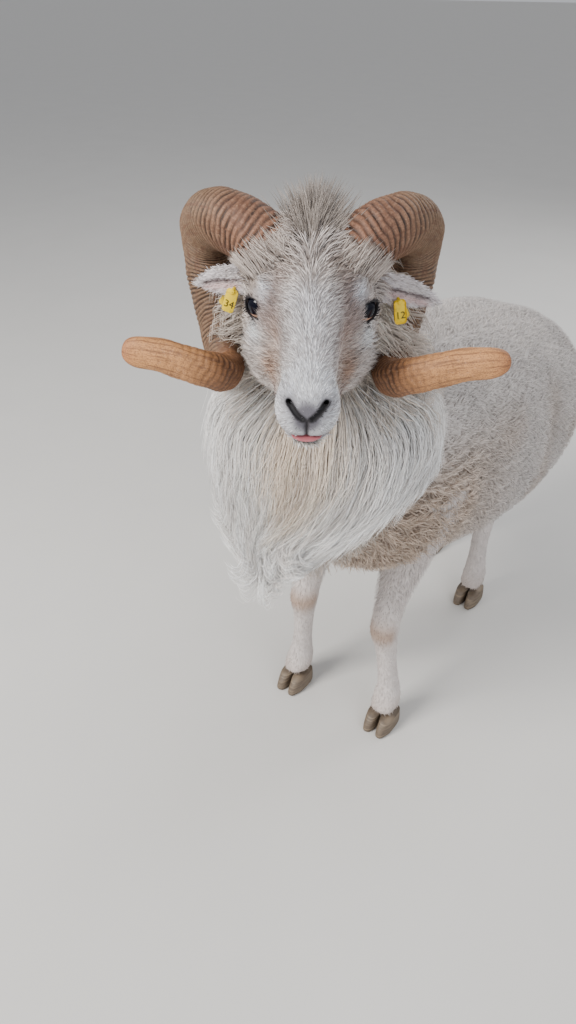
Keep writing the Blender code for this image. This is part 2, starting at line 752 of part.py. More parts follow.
def almond(name, side, parts):
    """The opening between the lids: a lens-shaped bar out from the eyeball's centre."""
    angles = np.linspace(0.0, 2 * math.pi, 24, endpoint=False)
    tilt = math.radians(-14.0)
    rings = []
    for reach, scale in ((-0.004, 0.80), (-0.030, 1.25)):
        ring = []
        for angle in angles:
            u = EYE_SLIT[0] * math.cos(angle)
            v = EYE_SLIT[1] * math.sin(angle) * (1 - 0.45 * abs(math.cos(angle)) ** 3)
            across, rise = u * math.cos(tilt) + v * math.sin(tilt), v * math.cos(tilt) - u * math.sin(tilt)
            ring.append((side * scale * across, reach, scale * rise))
        rings.append(ring)
    return prism(name, place(rings, gaze_frame(side)), parts)


def mouth_cutter(parts):
    """A thin curved plate between the lips, deeper in front where the tongue lies."""
    rings = []
    for y, z, half in MOUTH_ROWS:
        upper = [(x, y, z + half + 4.0 * x * x) for x in np.linspace(-0.036, 0.036, 13)]
        lower = [(x, y, z - half + 4.0 * x * x) for x in np.linspace(0.036, -0.036, 13)]
        rings.append(upper + lower)
    return prism("mouth", place(rings, head_frame()), parts)


def build_tongue(parts):
    """A flat tip that shows between the lips."""
    rings = []
    for y, half_wide, half_thick in (
        (-0.089, 0.0085, 0.0005), (-0.094, 0.0110, 0.0009), (-0.100, 0.0125, 0.0016),
        (-0.105, 0.0122, 0.0018), (-0.1105, 0.0100, 0.0015), (-0.1130, 0.0055, 0.0009),
    ):
        z = np.interp(-y, [-row[0] for row in MOUTH_ROWS], [row[1] for row in MOUTH_ROWS])
        ring = oval(16, half_wide, half_thick, half_thick, 0.8)
        rings.append([(x, y, z + v + 4.0 * x * x) for x, v in ring])
    return finish(loft("tongue", place(rings, head_frame()), parts), "tongue")


def poll_locks(parts):
    """The crest of upright hair between the horns."""
    draw = random.Random(3)
    frame = head_frame(pitch=0.0)
    made = []
    for k in range(POLL_LOCKS):
        share = (k % 5) / 4 * 2 - 1
        row = k // 5
        root = np.array((0.0070 * share, 0.012 + 0.022 * row + draw.uniform(-0.003, 0.003), 0.040))
        lean = np.array((0.017 * share + draw.uniform(-0.003, 0.003), 0.006 + 0.010 * row, 0.0))
        height = draw.uniform(0.036, 0.046) - 0.006 * abs(share)
        turn, shift = np.array(frame.to_3x3()), np.array(frame.translation)
        path = []
        for t in np.linspace(0.0, 1.0, LOCK_RINGS):
            path.append(turn @ (root + lean * t**2.2 + np.array((0.0, 0.0, height * t))) + shift)
        made.append(lock(path, turn @ np.array((0.25 * share, -1.0, 0.0)), 0.0058, 0.0030, parts))
    return made


def build_head(parts):
    head = loft("head", place(head_rings(HEAD_RINGS, HEAD_AROUND), head_frame()), parts)
    lids = [ball("lid", EYE_RADIUS + LID_THICK, gaze_frame(side), parts) for side in (1.0, -1.0)]
    combine(head, "UNION", lids + poll_locks(parts))
    cuts = [mouth_cutter(parts)]
    for side in (1.0, -1.0):
        cuts.append(ball("socket", EYE_RADIUS + 2 * GAP, gaze_frame(side), parts, 12, 8))
        cuts.append(almond("slit", side, parts))
        nostril = [(side * x, y, z, radius) for x, y, z, radius in NOSTRIL_ROWS]
        cuts.append(sweep("nostril", nostril, 8, head_frame(), parts))
    combine(head, "DIFFERENCE", cuts)
    return finish(head, "face_hair")


def gaze_frame(side):
    """An eyeball's frame: -Y looks out, X runs along the slit towards the nose or from it."""
    return (
        head_frame()
        @ Matrix.Translation((side * EYE_SIDE, 0.0, EYE_RISE))
        @ Matrix.Rotation(math.radians(side * EYE_TURN), 4, "Z")
        @ Matrix.Rotation(math.radians(-EYE_LIFT), 4, "X")
    )


def ball(name, radius, frame, parts, segments=14, rings=9):
    bpy.ops.mesh.primitive_uv_sphere_add(radius=radius, segments=segments, ring_count=rings)
    made = bpy.context.object
    made.name = name
    made.data.transform(frame)
    for home in list(made.users_collection):
        home.objects.unlink(made)
    parts.objects.link(made)
    return made


def build_eyes(parts):
    for side, label in ((1.0, "left"), (-1.0, "right")):
        eye = ball("eye_" + label, EYE_RADIUS, gaze_frame(side), parts)
        finish(eye, "eye")


def horn_rings(label, count, around, grow=0.0, ridge=0.0009):
    """Sections across the horn's path, every other one on a growth ridge that fades towards the tip."""
    side = 1.0 if label == "left" else -1.0
    rows = through(HORN_ROWS, count)
    circle, tip = HORN_SPREAD[label]
    rows[:, 0] *= np.interp(np.linspace(0.0, 1.0, count), (0.0, 0.6, 1.0), (circle, circle, tip))
    path = rows[:, :3]
    along = np.gradient(path, axis=0)
    along /= np.linalg.norm(along, axis=1)[:, None]
    wide = np.array((0.0, -0.6, 0.8))
    rings = []
    for i, (x, y, z, half_wide, half_thick) in enumerate(rows):
        wide = wide - along[i] * np.dot(wide, along[i])
        wide /= np.linalg.norm(wide)
        thick = np.cross(along[i], wide)
        share = i / (count - 1)
        swell = grow + (ridge * max(0.0, 1 - 1.3 * share) if i % 2 else 0.0)
        end = math.sqrt(1.0 - max(0.0, (share - 0.95) / 0.06) ** 2)
        thick_now = (half_thick + swell) * end
        ring = oval(around, (half_wide + swell) * end, thick_now, thick_now, 0.9)
        ring = [path[i] + u * wide + v * thick for u, v in ring]
        rings.append([(side * px, py, pz) for px, py, pz in ring])
    return place(rings, head_frame(pitch=0.0))


def build_horns(parts):
    for label in HORN_SPREAD:
        horn = loft("horn_" + label, horn_rings(label, HORN_RINGS, 10), parts)
        combine(horn, "DIFFERENCE", [clear_head(parts)])
        finish(horn, "horn")


def ear_frame(side):
    """An ear's frame: X runs along it, from the head for the left ear and to it for the right one,
    and -Y is the way its cup faces. The left ear hangs lower."""
    droop = 12.0 if side > 0 else 3.0
    return (
        head_frame(pitch=0.0)
        @ Matrix.Translation((side * 0.042, 0.036, 0.012))
        @ Matrix.Rotation(math.radians(side * 8.0), 4, "Z")
        @ Matrix.Rotation(math.radians(side * droop), 4, "Y")
    )


def ear_cup(share, u):
    """How far the ear's blade bends forward at a height u off its middle."""
    return (0.007 * (1 - share) + 0.003) * (2 * u / EAR_WIDE) ** 2


def ear_rings(label, grow=0.0):
    """A rounded leaf, cupped to the front."""
    side = 1.0 if label == "left" else -1.0
    length = EAR_LENGTH[label]
    rings = []
    for share in np.linspace(0.0, 1.0, 10):
        wide = EAR_WIDE * (0.55 + 0.45 * math.sin(math.pi * share**0.8)) * math.sqrt(1.03 - share**4)
        ring = []
        for u, v in oval(12, wide / 2 + grow, EAR_THICK / 2 + grow, EAR_THICK / 2 + grow):
            ring.append((side * (length + grow) * share, v - ear_cup(share, u), u - 0.006 * share**2))
        rings.append(ring)
    return place(rings, ear_frame(side))


def build_ears(parts):
    """Each ear has a hole for its tag's pin."""
    for label in EAR_LENGTH:
        ear = loft("ear_" + label, ear_rings(label), parts)
        clear = clear_head(parts)
        horn = loft("clear_horn", horn_rings(label, HORN_RINGS, 10, GAP), parts)
        hole = pin("hole", TAG_PIN_RADIUS + GAP, label, -0.02, 0.02, parts)
        combine(ear, "DIFFERENCE", [clear, horn, hole])
        finish(ear, "face_hair")


# The tag in each ear


def pin(name, radius, label, y_from, y_to, parts):
    """A round bar through the ear's blade."""
    side = 1.0 if label == "left" else -1.0
    ring = oval(12, radius, radius, radius)
    rings = [[(side * TAG_OUT[label] + u, y, TAG_PIN_HEIGHT + v) for u, v in ring] for y in (y_from, y_to)]
    return prism(name, place(rings, ear_frame(side)), parts)


def plate(name, label, middle, size, y_from, y_to, lean, parts):
    """A plate with rounded corners, across the ear frame's Y."""
    side = 1.0 if label == "left" else -1.0
    ring = oval(20, size[0] / 2, size[1] / 2, size[1] / 2, 0.35)
    c, s = math.cos(math.radians(lean)), math.sin(math.radians(lean))
    rings = [
        [(side * (middle[0] + u * c - v * s), y, middle[1] + u * s + v * c) for u, v in ring]
        for y in (y_from, y_to)
    ]
    return prism(name, place(rings, ear_frame(side)), parts)


def tag_pieces(label, parts, grow=0.0):
    """A front plate, a smaller rear one and the pin between them."""
    out = TAG_OUT[label]
    front = (TAG_FRONT[0] + grow, TAG_FRONT[1] + grow)
    rear = (TAG_REAR[0] + grow, TAG_REAR[1] + grow)
    front_name = "ear_tag_" + label
    return [
        plate(front_name, label, (out + 0.0027, -0.0165), front, -0.0112 - grow, grow - 0.0096, 20.0, parts),
        plate("rear", label, (out + 0.0041, -0.0156), rear, 0.0046 - grow, 0.0060 + grow, 30.0, parts),
        pin("bar", TAG_PIN_RADIUS + grow, label, -0.0103, 0.0052, parts),
    ]


def build_tags(parts):
    for label in TAG_OUT:
        pieces = tag_pieces(label, parts)
        finish(combine(pieces[0], "UNION", pieces[1:]), "tag_plastic")


def build_scrotum(coat, parts):
    rows = (
        (0.215, 0.330, 0.018, 0.020),
        (0.185, 0.332, 0.022, 0.023),
        (0.160, 0.334, 0.027, 0.026),
        (0.135, 0.335, 0.030, 0.027),
        (0.115, 0.335, 0.027, 0.024),
        (0.104, 0.335, 0.016, 0.014),
    )
    rings = []
    for z, y, half_wide, half_deep in through(rows, 12):
        rings.append([(u, y + v, z) for u, v in oval(16, half_wide, half_deep, half_deep)])
    scrotum = loft("scrotum", rings, parts)
    combine(scrotum, "DIFFERENCE", clear_of_torso(coat, parts))
    return finish(scrotum, "leg_hair")


def main():
    for old in list(bpy.data.objects):
        bpy.data.objects.remove(old)
    random.seed(7)
    parts = collection("ouessant_ram")
    bare = trunk(parts, "bare")
    tree = BVHTree.FromObject(bare, bpy.context.evaluated_depsgraph_get())
    coat = (tree, clump_places(tree))
    bpy.data.objects.remove(bare)
    build_torso(coat, parts)
    build_legs(parts)
    build_hooves(parts)
    build_tail(coat, parts)
    build_scrotum(coat, parts)
    build_neck(coat, parts)
    build_head(parts)
    build_tongue(parts)
    build_eyes(parts)
    build_horns(parts)
    build_ears(parts)
    build_tags(parts)


main()
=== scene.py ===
"""The looks of a shorn Ouessant ram around its CAD frame: one skin under a coat of solid tufts and locks.

Metres, +Z up. The body heads towards -Y and the animal's left side is +X. Shapes are worked out with the
middle of the two front feet at the origin, and SHIFT brings each finished piece into the frame.
"""

import json
import math

import bpy
import numpy as np
from mathutils import Matrix, Vector
from mathutils.kdtree import KDTree

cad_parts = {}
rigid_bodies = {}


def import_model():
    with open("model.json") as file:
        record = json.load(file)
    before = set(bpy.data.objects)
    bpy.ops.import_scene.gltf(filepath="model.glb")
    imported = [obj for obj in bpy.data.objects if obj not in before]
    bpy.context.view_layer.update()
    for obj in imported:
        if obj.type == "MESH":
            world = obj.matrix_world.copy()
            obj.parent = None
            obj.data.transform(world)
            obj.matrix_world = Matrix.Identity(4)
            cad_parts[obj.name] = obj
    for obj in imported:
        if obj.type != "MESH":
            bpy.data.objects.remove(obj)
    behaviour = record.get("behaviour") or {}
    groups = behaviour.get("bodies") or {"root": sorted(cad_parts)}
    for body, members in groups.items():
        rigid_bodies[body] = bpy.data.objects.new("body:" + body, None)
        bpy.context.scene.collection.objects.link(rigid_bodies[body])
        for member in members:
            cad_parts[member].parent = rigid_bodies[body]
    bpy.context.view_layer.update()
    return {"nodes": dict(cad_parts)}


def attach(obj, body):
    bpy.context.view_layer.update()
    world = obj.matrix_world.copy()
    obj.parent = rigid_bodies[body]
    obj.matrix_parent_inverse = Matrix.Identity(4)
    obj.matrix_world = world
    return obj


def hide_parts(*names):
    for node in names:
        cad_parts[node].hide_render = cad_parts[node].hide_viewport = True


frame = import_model()

SHIFT = np.array((-0.0217, -0.1388, 0.0))

# The camera, in pixels of the photograph's frame and in metres
FRAME_HIGH = 1024
FOCAL = 769.0
CAMERA_AT = np.array((0.357, -0.6115, 0.80))
CAMERA_DOWN = 35.0
CAMERA_HEADING = 36.0
LIGHTS_AIM = (0.0, 0.0, 0.35)
SENSOR = 36.0

# The head, the eyes and the ears
EYES_AT = Vector((0.0285, -0.1282, 0.585))
HEAD_YAW = 33.6
HEAD_PITCH = 15.0
HEAD_ROLL = 0.9
EYE_RADIUS = 0.0130
EYE_SIDE = 0.0372
EYE_RISE = 0.0040
EYE_TURN = 34.0
EYE_LIFT = 8.0
LID_THICK = 0.0020
EYE_SLIT = (0.0118, 0.0082)
SLIT_TILT = -14.0
SLIT_POINTS = 48
UPPER_LID = slice(4, 21)  # the points of the slit that carry lashes
EAR_LENGTH = {"left": 0.067, "right": 0.056}
EAR_WIDE = 0.027
EAR_THICK = 0.0026
EAR_SAG = 0.006  # how far an ear's tip sinks
SIDES = {"left": 1.0, "right": -1.0}

# How far the skin lies under the solids' surface, and the grain in which it is made
TRUNK_DEPTH = 0.0058
NECK_DEPTH = 0.0030
HEAD_DEPTH = 0.0014
LEG_DEPTH = 0.0016
TAIL_DEPTH = 0.004
SCROTUM_DEPTH = 0.002
BODY_GRAIN = 0.0046
HEAD_GRAIN = 0.00122

# The nodes whose place the one skin takes
FLESH = ("torso", "neck", "head", "tail", "scrotum", "ear_left", "ear_right", "leg_front_left",
         "leg_front_right", "leg_hind_left", "leg_hind_right")

# Sections across the trunk: y, top, bottom, height of the widest place, half width
TORSO_ROWS = (
    (-0.080, 0.400, 0.310, 0.355, 0.036),
    (-0.062, 0.426, 0.290, 0.354, 0.062),
    (-0.030, 0.448, 0.256, 0.342, 0.085),
    (0.015, 0.464, 0.235, 0.332, 0.098),
    (0.065, 0.471, 0.218, 0.324, 0.104),
    (0.120, 0.474, 0.199, 0.312, 0.113),
    (0.190, 0.475, 0.182, 0.302, 0.124),
    (0.260, 0.471, 0.174, 0.296, 0.132),
    (0.320, 0.459, 0.174, 0.296, 0.134),
    (0.370, 0.444, 0.188, 0.304, 0.129),
    (0.410, 0.427, 0.214, 0.312, 0.117),
    (0.445, 0.402, 0.248, 0.318, 0.094),
    (0.468, 0.374, 0.278, 0.322, 0.060),
)
# Level sections of the neck: z, x, y, half width, reach to the front and back, turn in degrees
NECK_ROWS = (
    (0.302, -0.004, -0.096, 0.030, 0.022, 0.040, 20.0),
    (0.325, -0.003, -0.084, 0.054, 0.036, 0.075, 20.0),
    (0.362, -0.002, -0.070, 0.074, 0.052, 0.110, 21.0),
    (0.405, -0.001, -0.062, 0.085, 0.062, 0.112, 22.0),
    (0.450, -0.001, -0.058, 0.087, 0.066, 0.100, 25.0),
    (0.495, -0.002, -0.058, 0.080, 0.060, 0.078, 29.0),
    (0.535, -0.005, -0.062, 0.068, 0.050, 0.058, 33.0),
    (0.572, -0.010, -0.066, 0.058, 0.038, 0.044, 34.0),
    (0.600, -0.012, -0.066, 0.040, 0.026, 0.030, 34.0),
)
# Sections across the head in its own frame: y, top, bottom, height of the widest place, half width
HEAD_ROWS = (
    (0.076, 0.016, -0.030, -0.008, 0.022),
    (0.066, 0.036, -0.052, -0.010, 0.039),
    (0.048, 0.050, -0.068, -0.014, 0.0480),
    (0.028, 0.053, -0.076, -0.020, 0.0515),
    (0.008, 0.047, -0.077, -0.026, 0.0510),
    (-0.012, 0.0395, -0.070, -0.028, 0.0470),
    (-0.030, 0.0335, -0.060, -0.026, 0.0395),
    (-0.046, 0.0285, -0.052, -0.024, 0.0320),
    (-0.062, 0.0240, -0.0480, -0.022, 0.0272),
    (-0.078, 0.0190, -0.0460, -0.021, 0.0255),
    (-0.091, 0.0125, -0.0450, -0.019, 0.0250),
    (-0.100, 0.0035, -0.0430, -0.019, 0.0230),
    (-0.107, -0.0050, -0.0405, -0.020, 0.0185),
    (-0.1115, -0.0120, -0.0365, -0.022, 0.0120),
)
# A horn's middle line in the head's frame: x, y, z, and its wider and thinner half sizes
HORN_ROWS = (
    (0.022, 0.020, 0.026, 0.0250, 0.0215),
    (0.042, 0.030, 0.045, 0.0255, 0.0220),
    (0.067, 0.053, 0.051, 0.0245, 0.0215),
    (0.085, 0.082, 0.041, 0.0235, 0.0205),
    (0.0895, 0.102, 0.014, 0.0220, 0.0190),
    (0.0885, 0.104, -0.020, 0.0200, 0.0170),
    (0.079, 0.080, -0.051, 0.0180, 0.0155),
    (0.071, 0.040, -0.064, 0.0165, 0.0140),
    (0.070, 0.004, -0.058, 0.0152, 0.0130),
    (0.088, -0.015, -0.046, 0.0145, 0.0118),
    (0.120, -0.020, -0.035, 0.0136, 0.0104),
    (0.158, -0.022, -0.029, 0.0118, 0.0088),
)
# How far each horn's circle and tip stand out, as shares of HORN_ROWS
HORN_SPREAD = {"left": (0.985, 0.990), "right": (1.045, 0.935)}
# The gap between the lips: y, height, half height. MOUTH_CURVE lifts it to the sides.
MOUTH_CURVE = 4.0
MOUTH_ROWS = (
    (-0.064, -0.0270, 0.0005),
    (-0.085, -0.0300, 0.0009),
    (-0.098, -0.0315, 0.0028),
    (-0.130, -0.0325, 0.0038),
)
# A nostril's line and radius, and the furrow from the eye's corner
NOSTRIL_ROWS = (
    (0.0108, -0.0960, -0.0120, 0.0012),
    (0.0126, -0.1005, -0.0066, 0.0019),
    (0.0132, -0.1030, -0.0048, 0.0021),
    (0.0108, -0.1062, -0.0076, 0.0020),
    (0.0070, -0.1098, -0.0112, 0.0017),
    (0.0030, -0.1115, -0.0140, 0.0014),
)
TEAR_LINE = ((0.0345, -0.0135, -0.0040), (0.0290, -0.0360, -0.0150))
# Swellings and hollows of the face in the head's frame, both sides alike: height, middle, reach
FACE_SPOTS = (
    (0.0018, (0.033, 0.006, 0.022), (0.014, 0.014, 0.007)),
    (0.0014, (0.030, -0.020, 0.012), (0.006, 0.010, 0.006)),
    (0.0016, (0.0260, -0.026, 0.002), (0.005, 0.010, 0.007)),
    (0.0016, (0.0155, -0.055, 0.022), (0.005, 0.034, 0.007)),
    (-0.0062, (0.029, -0.056, -0.004), (0.007, 0.022, 0.013)),
    (-0.0032, (0.025, -0.074, -0.010), (0.006, 0.015, 0.010)),
    (0.0016, (0.0165, -0.098, -0.001), (0.006, 0.008, 0.005)),
    (-0.0012, (0.022, -0.086, 0.000), (0.004, 0.008, 0.006)),
    (0.0014, (0.012, -0.106, -0.024), (0.010, 0.008, 0.007)),
    (0.0016, (0.044, 0.030, -0.036), (0.012, 0.024, 0.020)),
    (-0.0012, (0.036, -0.018, -0.030), (0.010, 0.016, 0.012)),
)
# The same for the trunk: shoulder, hollow behind it, flank, thigh, hip and the fold before the thigh
TRUNK_SPOTS = (
    (0.0035, (0.100, 0.030, 0.345), (0.050, 0.038, 0.070)),
    (-0.0085, (0.115, 0.118, 0.300), (0.060, 0.030, 0.080)),
    (-0.0100, (0.130, 0.295, 0.330), (0.060, 0.034, 0.060)),
    (0.0040, (0.115, 0.385, 0.300), (0.050, 0.045, 0.070)),
    (0.0035, (0.075, 0.330, 0.440), (0.026, 0.030, 0.020)),
    (-0.0060, (0.070, 0.265, 0.180), (0.090, 0.040, 0.030)),
)
# Level sections of the legs: z, x, y, half width, half depth
FRONT_LEG_ROWS = (
    (0.345, 0.060, 0.052, 0.040, 0.056),
    (0.305, 0.060, 0.050, 0.036, 0.048),
    (0.270, 0.057, 0.043, 0.031, 0.040),
    (0.235, 0.054, 0.030, 0.026, 0.031),
    (0.205, 0.053, 0.014, 0.0205, 0.0245),
    (0.175, 0.053, 0.001, 0.0180, 0.0200),
    (0.155, 0.053, -0.003, 0.0180, 0.0190),
    (0.130, 0.055, 0.000, 0.0148, 0.0160),
    (0.095, 0.058, 0.003, 0.0135, 0.0145),
    (0.065, 0.061, 0.005, 0.0150, 0.0160),
    (0.046, 0.062, 0.004, 0.0185, 0.0195),
    (0.028, 0.063, -0.004, 0.0190, 0.0215),
)
HIND_LEG_ROWS = (
    (0.360, 0.062, 0.375, 0.046, 0.074),
    (0.310, 0.064, 0.368, 0.045, 0.068),
    (0.270, 0.063, 0.362, 0.038, 0.056),
    (0.235, 0.060, 0.368, 0.030, 0.043),
    (0.205, 0.057, 0.385, 0.0225, 0.031),
    (0.180, 0.055, 0.404, 0.0170, 0.0240),
    (0.160, 0.054, 0.412, 0.0165, 0.0235),
    (0.135, 0.054, 0.405, 0.0150, 0.0185),
    (0.100, 0.054, 0.399, 0.0138, 0.0155),
    (0.068, 0.055, 0.397, 0.0150, 0.0165),
    (0.047, 0.056, 0.394, 0.0182, 0.0192),
    (0.028, 0.057, 0.385, 0.0188, 0.0212),
)
# Sections of the tail: y, z, half width, half thickness
TAIL_ROWS = (
    (0.4406, 0.396, 0.018, 0.013),
    (0.4666, 0.390, 0.023, 0.017),
    (0.4866, 0.368, 0.024, 0.016),
    (0.4956, 0.338, 0.021, 0.014),
    (0.4976, 0.308, 0.016, 0.011),
    (0.4946, 0.284, 0.008, 0.006),
)
# Level sections of the scrotum: z, y, half width, half depth
SCROTUM_ROWS = (
    (0.215, 0.330, 0.018, 0.020),
    (0.185, 0.332, 0.022, 0.023),
    (0.160, 0.334, 0.027, 0.026),
    (0.135, 0.335, 0.030, 0.027),
    (0.115, 0.335, 0.027, 0.024),
    (0.104, 0.335, 0.016, 0.014),
)
# How far out and along the body each foot stands from its rows. Above the hock or knee the leg takes less.
HOCK_HEIGHT = 0.155
STEPS = {
    "front_left": (0.002, 0.004),
    "front_right": (0.004, -0.004),
    "hind_left": (-0.006, -0.095),
    "hind_right": (0.000, -0.010),
}
HOOF_LENGTH = 0.046
HOOF_HALF_WIDE = 0.0185
HOOF_CLEFT = 0.0012
# A claw's height, its reach to the front and back as shares of HOOF_LENGTH, and its share of the half width
CLAW_ROWS = (
    (0.0, 0.58, 0.38, 0.90),
    (0.0015, 0.615, 0.40, 0.98),
    (0.005, 0.62, 0.41, 1.00),
    (0.010, 0.575, 0.42, 0.99),
    (0.015, 0.50, 0.42, 0.97),
    (0.0201, 0.40, 0.42, 0.94),
)
# The tags: how far out on the ear, then the pin, and the two plates' widths and heights
TAG_OUT = {"left": 0.031, "right": 0.022}
TAG_TEXT = {"left": "12", "right": "34"}
TAG_PIN_RADIUS = 0.0014
TAG_PIN_HEIGHT = -0.0085
TAG_FRONT = (0.0100, 0.0200)
TAG_REAR = (0.0085, 0.0205)

# The horns' growth rings, the fine lines between them, and a horn's length
RING_PITCH = 0.0062
LINE_PITCH = 0.0019
HORN_LENGTH = 0.39

# By angle round a horn, how far along it the skin ends and how far the hair over its base reaches
HAIRLINE = (
    (0, 30, 60, 90, 120, 150, 180, 210, 240, 270, 300, 330, 360),
    (0.035, 0.027, 0.03, 0.038, 0.045, 0.06, 0.09, 0.10, 0.09, 0.078, 0.063, 0.05, 0.035),
    (0.057, 0.068, 0.082, 0.102, 0.122, 0.132, 0.145, 0.145, 0.120, 0.098, 0.074, 0.058, 0.057),
)

# The ruff: by height, how many degrees it reaches round from the neck's front, and its hair's length
RUFF_ARC_LEFT = ((0.345, 0.410, 0.455, 0.500, 0.560), (38.0, 62.0, 88.0, 112.0, 120.0))
RUFF_ARC_RIGHT = ((0.345, 0.410, 0.455, 0.500, 0.560), (62.0, 92.0, 108.0, 120.0, 124.0))
RUFF_LENGTHS = ((0.345, 0.362, 0.410, 0.455, 0.500, 0.560), (0.072, 0.086, 0.124, 0.136, 0.128, 0.110))
RUFF_LIFT = 0.023
RUFF_LOCKS = 400
LOCK_STRANDS = 26
NECK_ROUND = 0.105  # the radius on which hair slides round the neck
WAVE_PITCH = 0.052  # of the waves along a lock
RIPPLE_PITCH = 0.0135  # of the waves in the breast's wool
BAKE_PATCH = 0.003  # each blade's size on the unwrap
SHARE = 1.0
DARK_BLADE = (0.60, 0.56, 0.54)  # the shade of the darker blades where hair is mottled

# Short hair by piece: a blade's width, how far blades stray and vary, the painted shade at the root and the
# painted light at the tip, the share of dark ones. The fleece's row serves its three pieces.
HAIR_LOOKS = {
    "fleece": {"width": 0.00085, "fray": 0.60, "varied": 0.06, "shade": (0.86, 1.03)},
    "face_front": {"width": 0.00048, "fray": 0.24, "varied": 0.14, "shade": (0.66, 1.10), "mottle": 0.30},
    "face_back": {"width": 0.00058, "fray": 0.30, "varied": 0.14, "shade": (0.62, 1.10), "mottle": 0.34,
                  "points": 4},
    "ear_hair": {"width": 0.00040, "fray": 0.32, "varied": 0.12, "mottle": 0.22},
    "neck_hair": {"width": 0.00070, "fray": 0.55, "varied": 0.08, "shade": (0.80, 1.06), "mottle": 0.12,
                  "points": 4},
    "leg_hair": {"width": 0.0005, "fray": 0.22, "varied": 0.06, "shade": (0.86, 1.03)},
    "tail_hair": {"width": 0.0007, "fray": 0.35, "varied": 0.08, "points": 4},
}
# Length and lift of the short hair that is alike all over its part
EVEN_HAIR = {"ear_hair": (0.0052, 0.0014), "neck_hair": (0.019, 0.0100), "tail_hair": (0.0120, 0.0038)}

# Regions of the skin, by number
TRUNK, NECK, HEAD, EAR_LEFT, EAR_RIGHT, TAIL, SCROTUM, LEGS = range(8)


# Curves, sections and frames


def through(rows, count):
    """`count` rows read at even steps off a smooth curve through the given rows."""
    rows = np.asarray(rows, float)
    steps = np.linspace(0.0, len(rows) - 1.0, count)
    first = np.clip(np.floor(steps).astype(int), 0, len(rows) - 2)
    t = (steps - first)[:, None]
    start, end = rows[first], rows[first + 1]
    before = rows[np.maximum(first - 1, 0)]
    after = rows[np.minimum(first + 2, len(rows) - 1)]
    slope_in, slope_out = (end - before) / 2, (after - start) / 2
    return (
        (2 * t**3 - 3 * t**2 + 1) * start
        + (t**3 - 2 * t**2 + t) * slope_in
        + (3 * t**2 - 2 * t**3) * end
        + (t**3 - t**2) * slope_out
    )


def oval(count, half_wide, up, down, squareness=1.0):
    """A ring as (side, height) pairs: an ellipse whose upper and lower halves have their own heights."""
    angles = np.linspace(0.0, 2 * math.pi, count, endpoint=False)
    side, rise = np.cos(angles), np.sin(angles)
    side = np.sign(side) * np.abs(side) ** squareness * half_wide
    rise = np.sign(rise) * np.abs(rise) ** squareness
    return np.stack([side, np.where(rise > 0, rise * up, rise * down)], axis=1)


def head_frame(pitch=HEAD_PITCH, roll=HEAD_ROLL):
    """From the head's own frame to the animal's."""
    return (
        Matrix.Translation(EYES_AT)
        @ Matrix.Rotation(math.radians(HEAD_YAW), 4, "Z")
        @ Matrix.Rotation(math.radians(roll), 4, "Y")
        @ Matrix.Rotation(math.radians(pitch), 4, "X")
    )


def gaze_frame(side):
    """An eyeball's frame: -Y looks out, X runs along the slit."""
    return (
        head_frame()
        @ Matrix.Translation((side * EYE_SIDE, 0.0, EYE_RISE))
        @ Matrix.Rotation(math.radians(side * EYE_TURN), 4, "Z")
        @ Matrix.Rotation(math.radians(-EYE_LIFT), 4, "X")
    )


def ear_frame(side):
    """An ear's frame: X runs along it and -Y is the way its cup faces."""
    droop = 12.0 if side > 0 else 3.0
    return (
        head_frame(pitch=0.0)
        @ Matrix.Translation((side * 0.042, 0.036, 0.012))
        @ Matrix.Rotation(math.radians(side * 8.0), 4, "Z")
        @ Matrix.Rotation(math.radians(side * droop), 4, "Y")
    )


def placed(points, place):
    """Points moved by a frame."""
    turn, shift = np.array(place.to_3x3()), np.array(place.translation)
    return np.asarray(points, float) @ turn.T + shift


def seen_from(points, place):
    """Points as a frame sees them."""
    turn, shift = np.array(place.to_3x3()), np.array(place.translation)
    return (np.asarray(points, float) - shift) @ turn


def in_head(points):
    """Points as the head's frame sees them, then their distance from its middle plane, y and z."""
    local = seen_from(points, head_frame())
    return local, np.abs(local[:, 0]), local[:, 1], local[:, 2]


def mirrored(points):
    """Points with the right side laid over the left."""
    return np.stack([np.abs(points[:, 0]), points[:, 1], points[:, 2]], -1)


def unit(ways):
    return ways / np.maximum(np.linalg.norm(ways, axis=-1, keepdims=True), 1e-9)


def mixed(first, second, share):
    """Colours a share of the way from the first to the second."""
    return first + (second - first) * share[..., None]


def gauss(distance, width):
    """1 at no distance, and a bell around it."""
    return np.exp(-(distance / width) ** 2)


def ramp(value, low, high):
    """0 below `low`, 1 above `high`, and a smooth rise between them."""
    t = np.clip((value - low) / (high - low), 0.0, 1.0)
    return t * t * (3 - 2 * t)


def wander(points, size, seed):
    """A smooth random value from about -1 to 1 that changes over `size` metres."""
    draw = np.random.default_rng(seed)
    total = np.zeros(len(points))
    for _ in range(6):
        way = unit(draw.normal(size=3)) * 2 * math.pi / (size * draw.uniform(0.7, 1.5))
        total += np.sin(points @ way + draw.uniform(0, 2 * math.pi))
    return total / 2.6


def finder(spots):
    """A function that gives for each of its points the number of the nearest spot."""
    tree = KDTree(len(spots))
    for number, spot in enumerate(spots):
        tree.insert(spot, number)
    tree.balance()
    return lambda points: [tree.find(point)[1] for point in points]


# Making meshes


def deselect():
    for other in list(bpy.context.selected_objects):
        other.select_set(False)


def choose(made):
    """The one selected and active object."""
    deselect()
    made.select_set(True)
    bpy.context.view_layer.objects.active = made


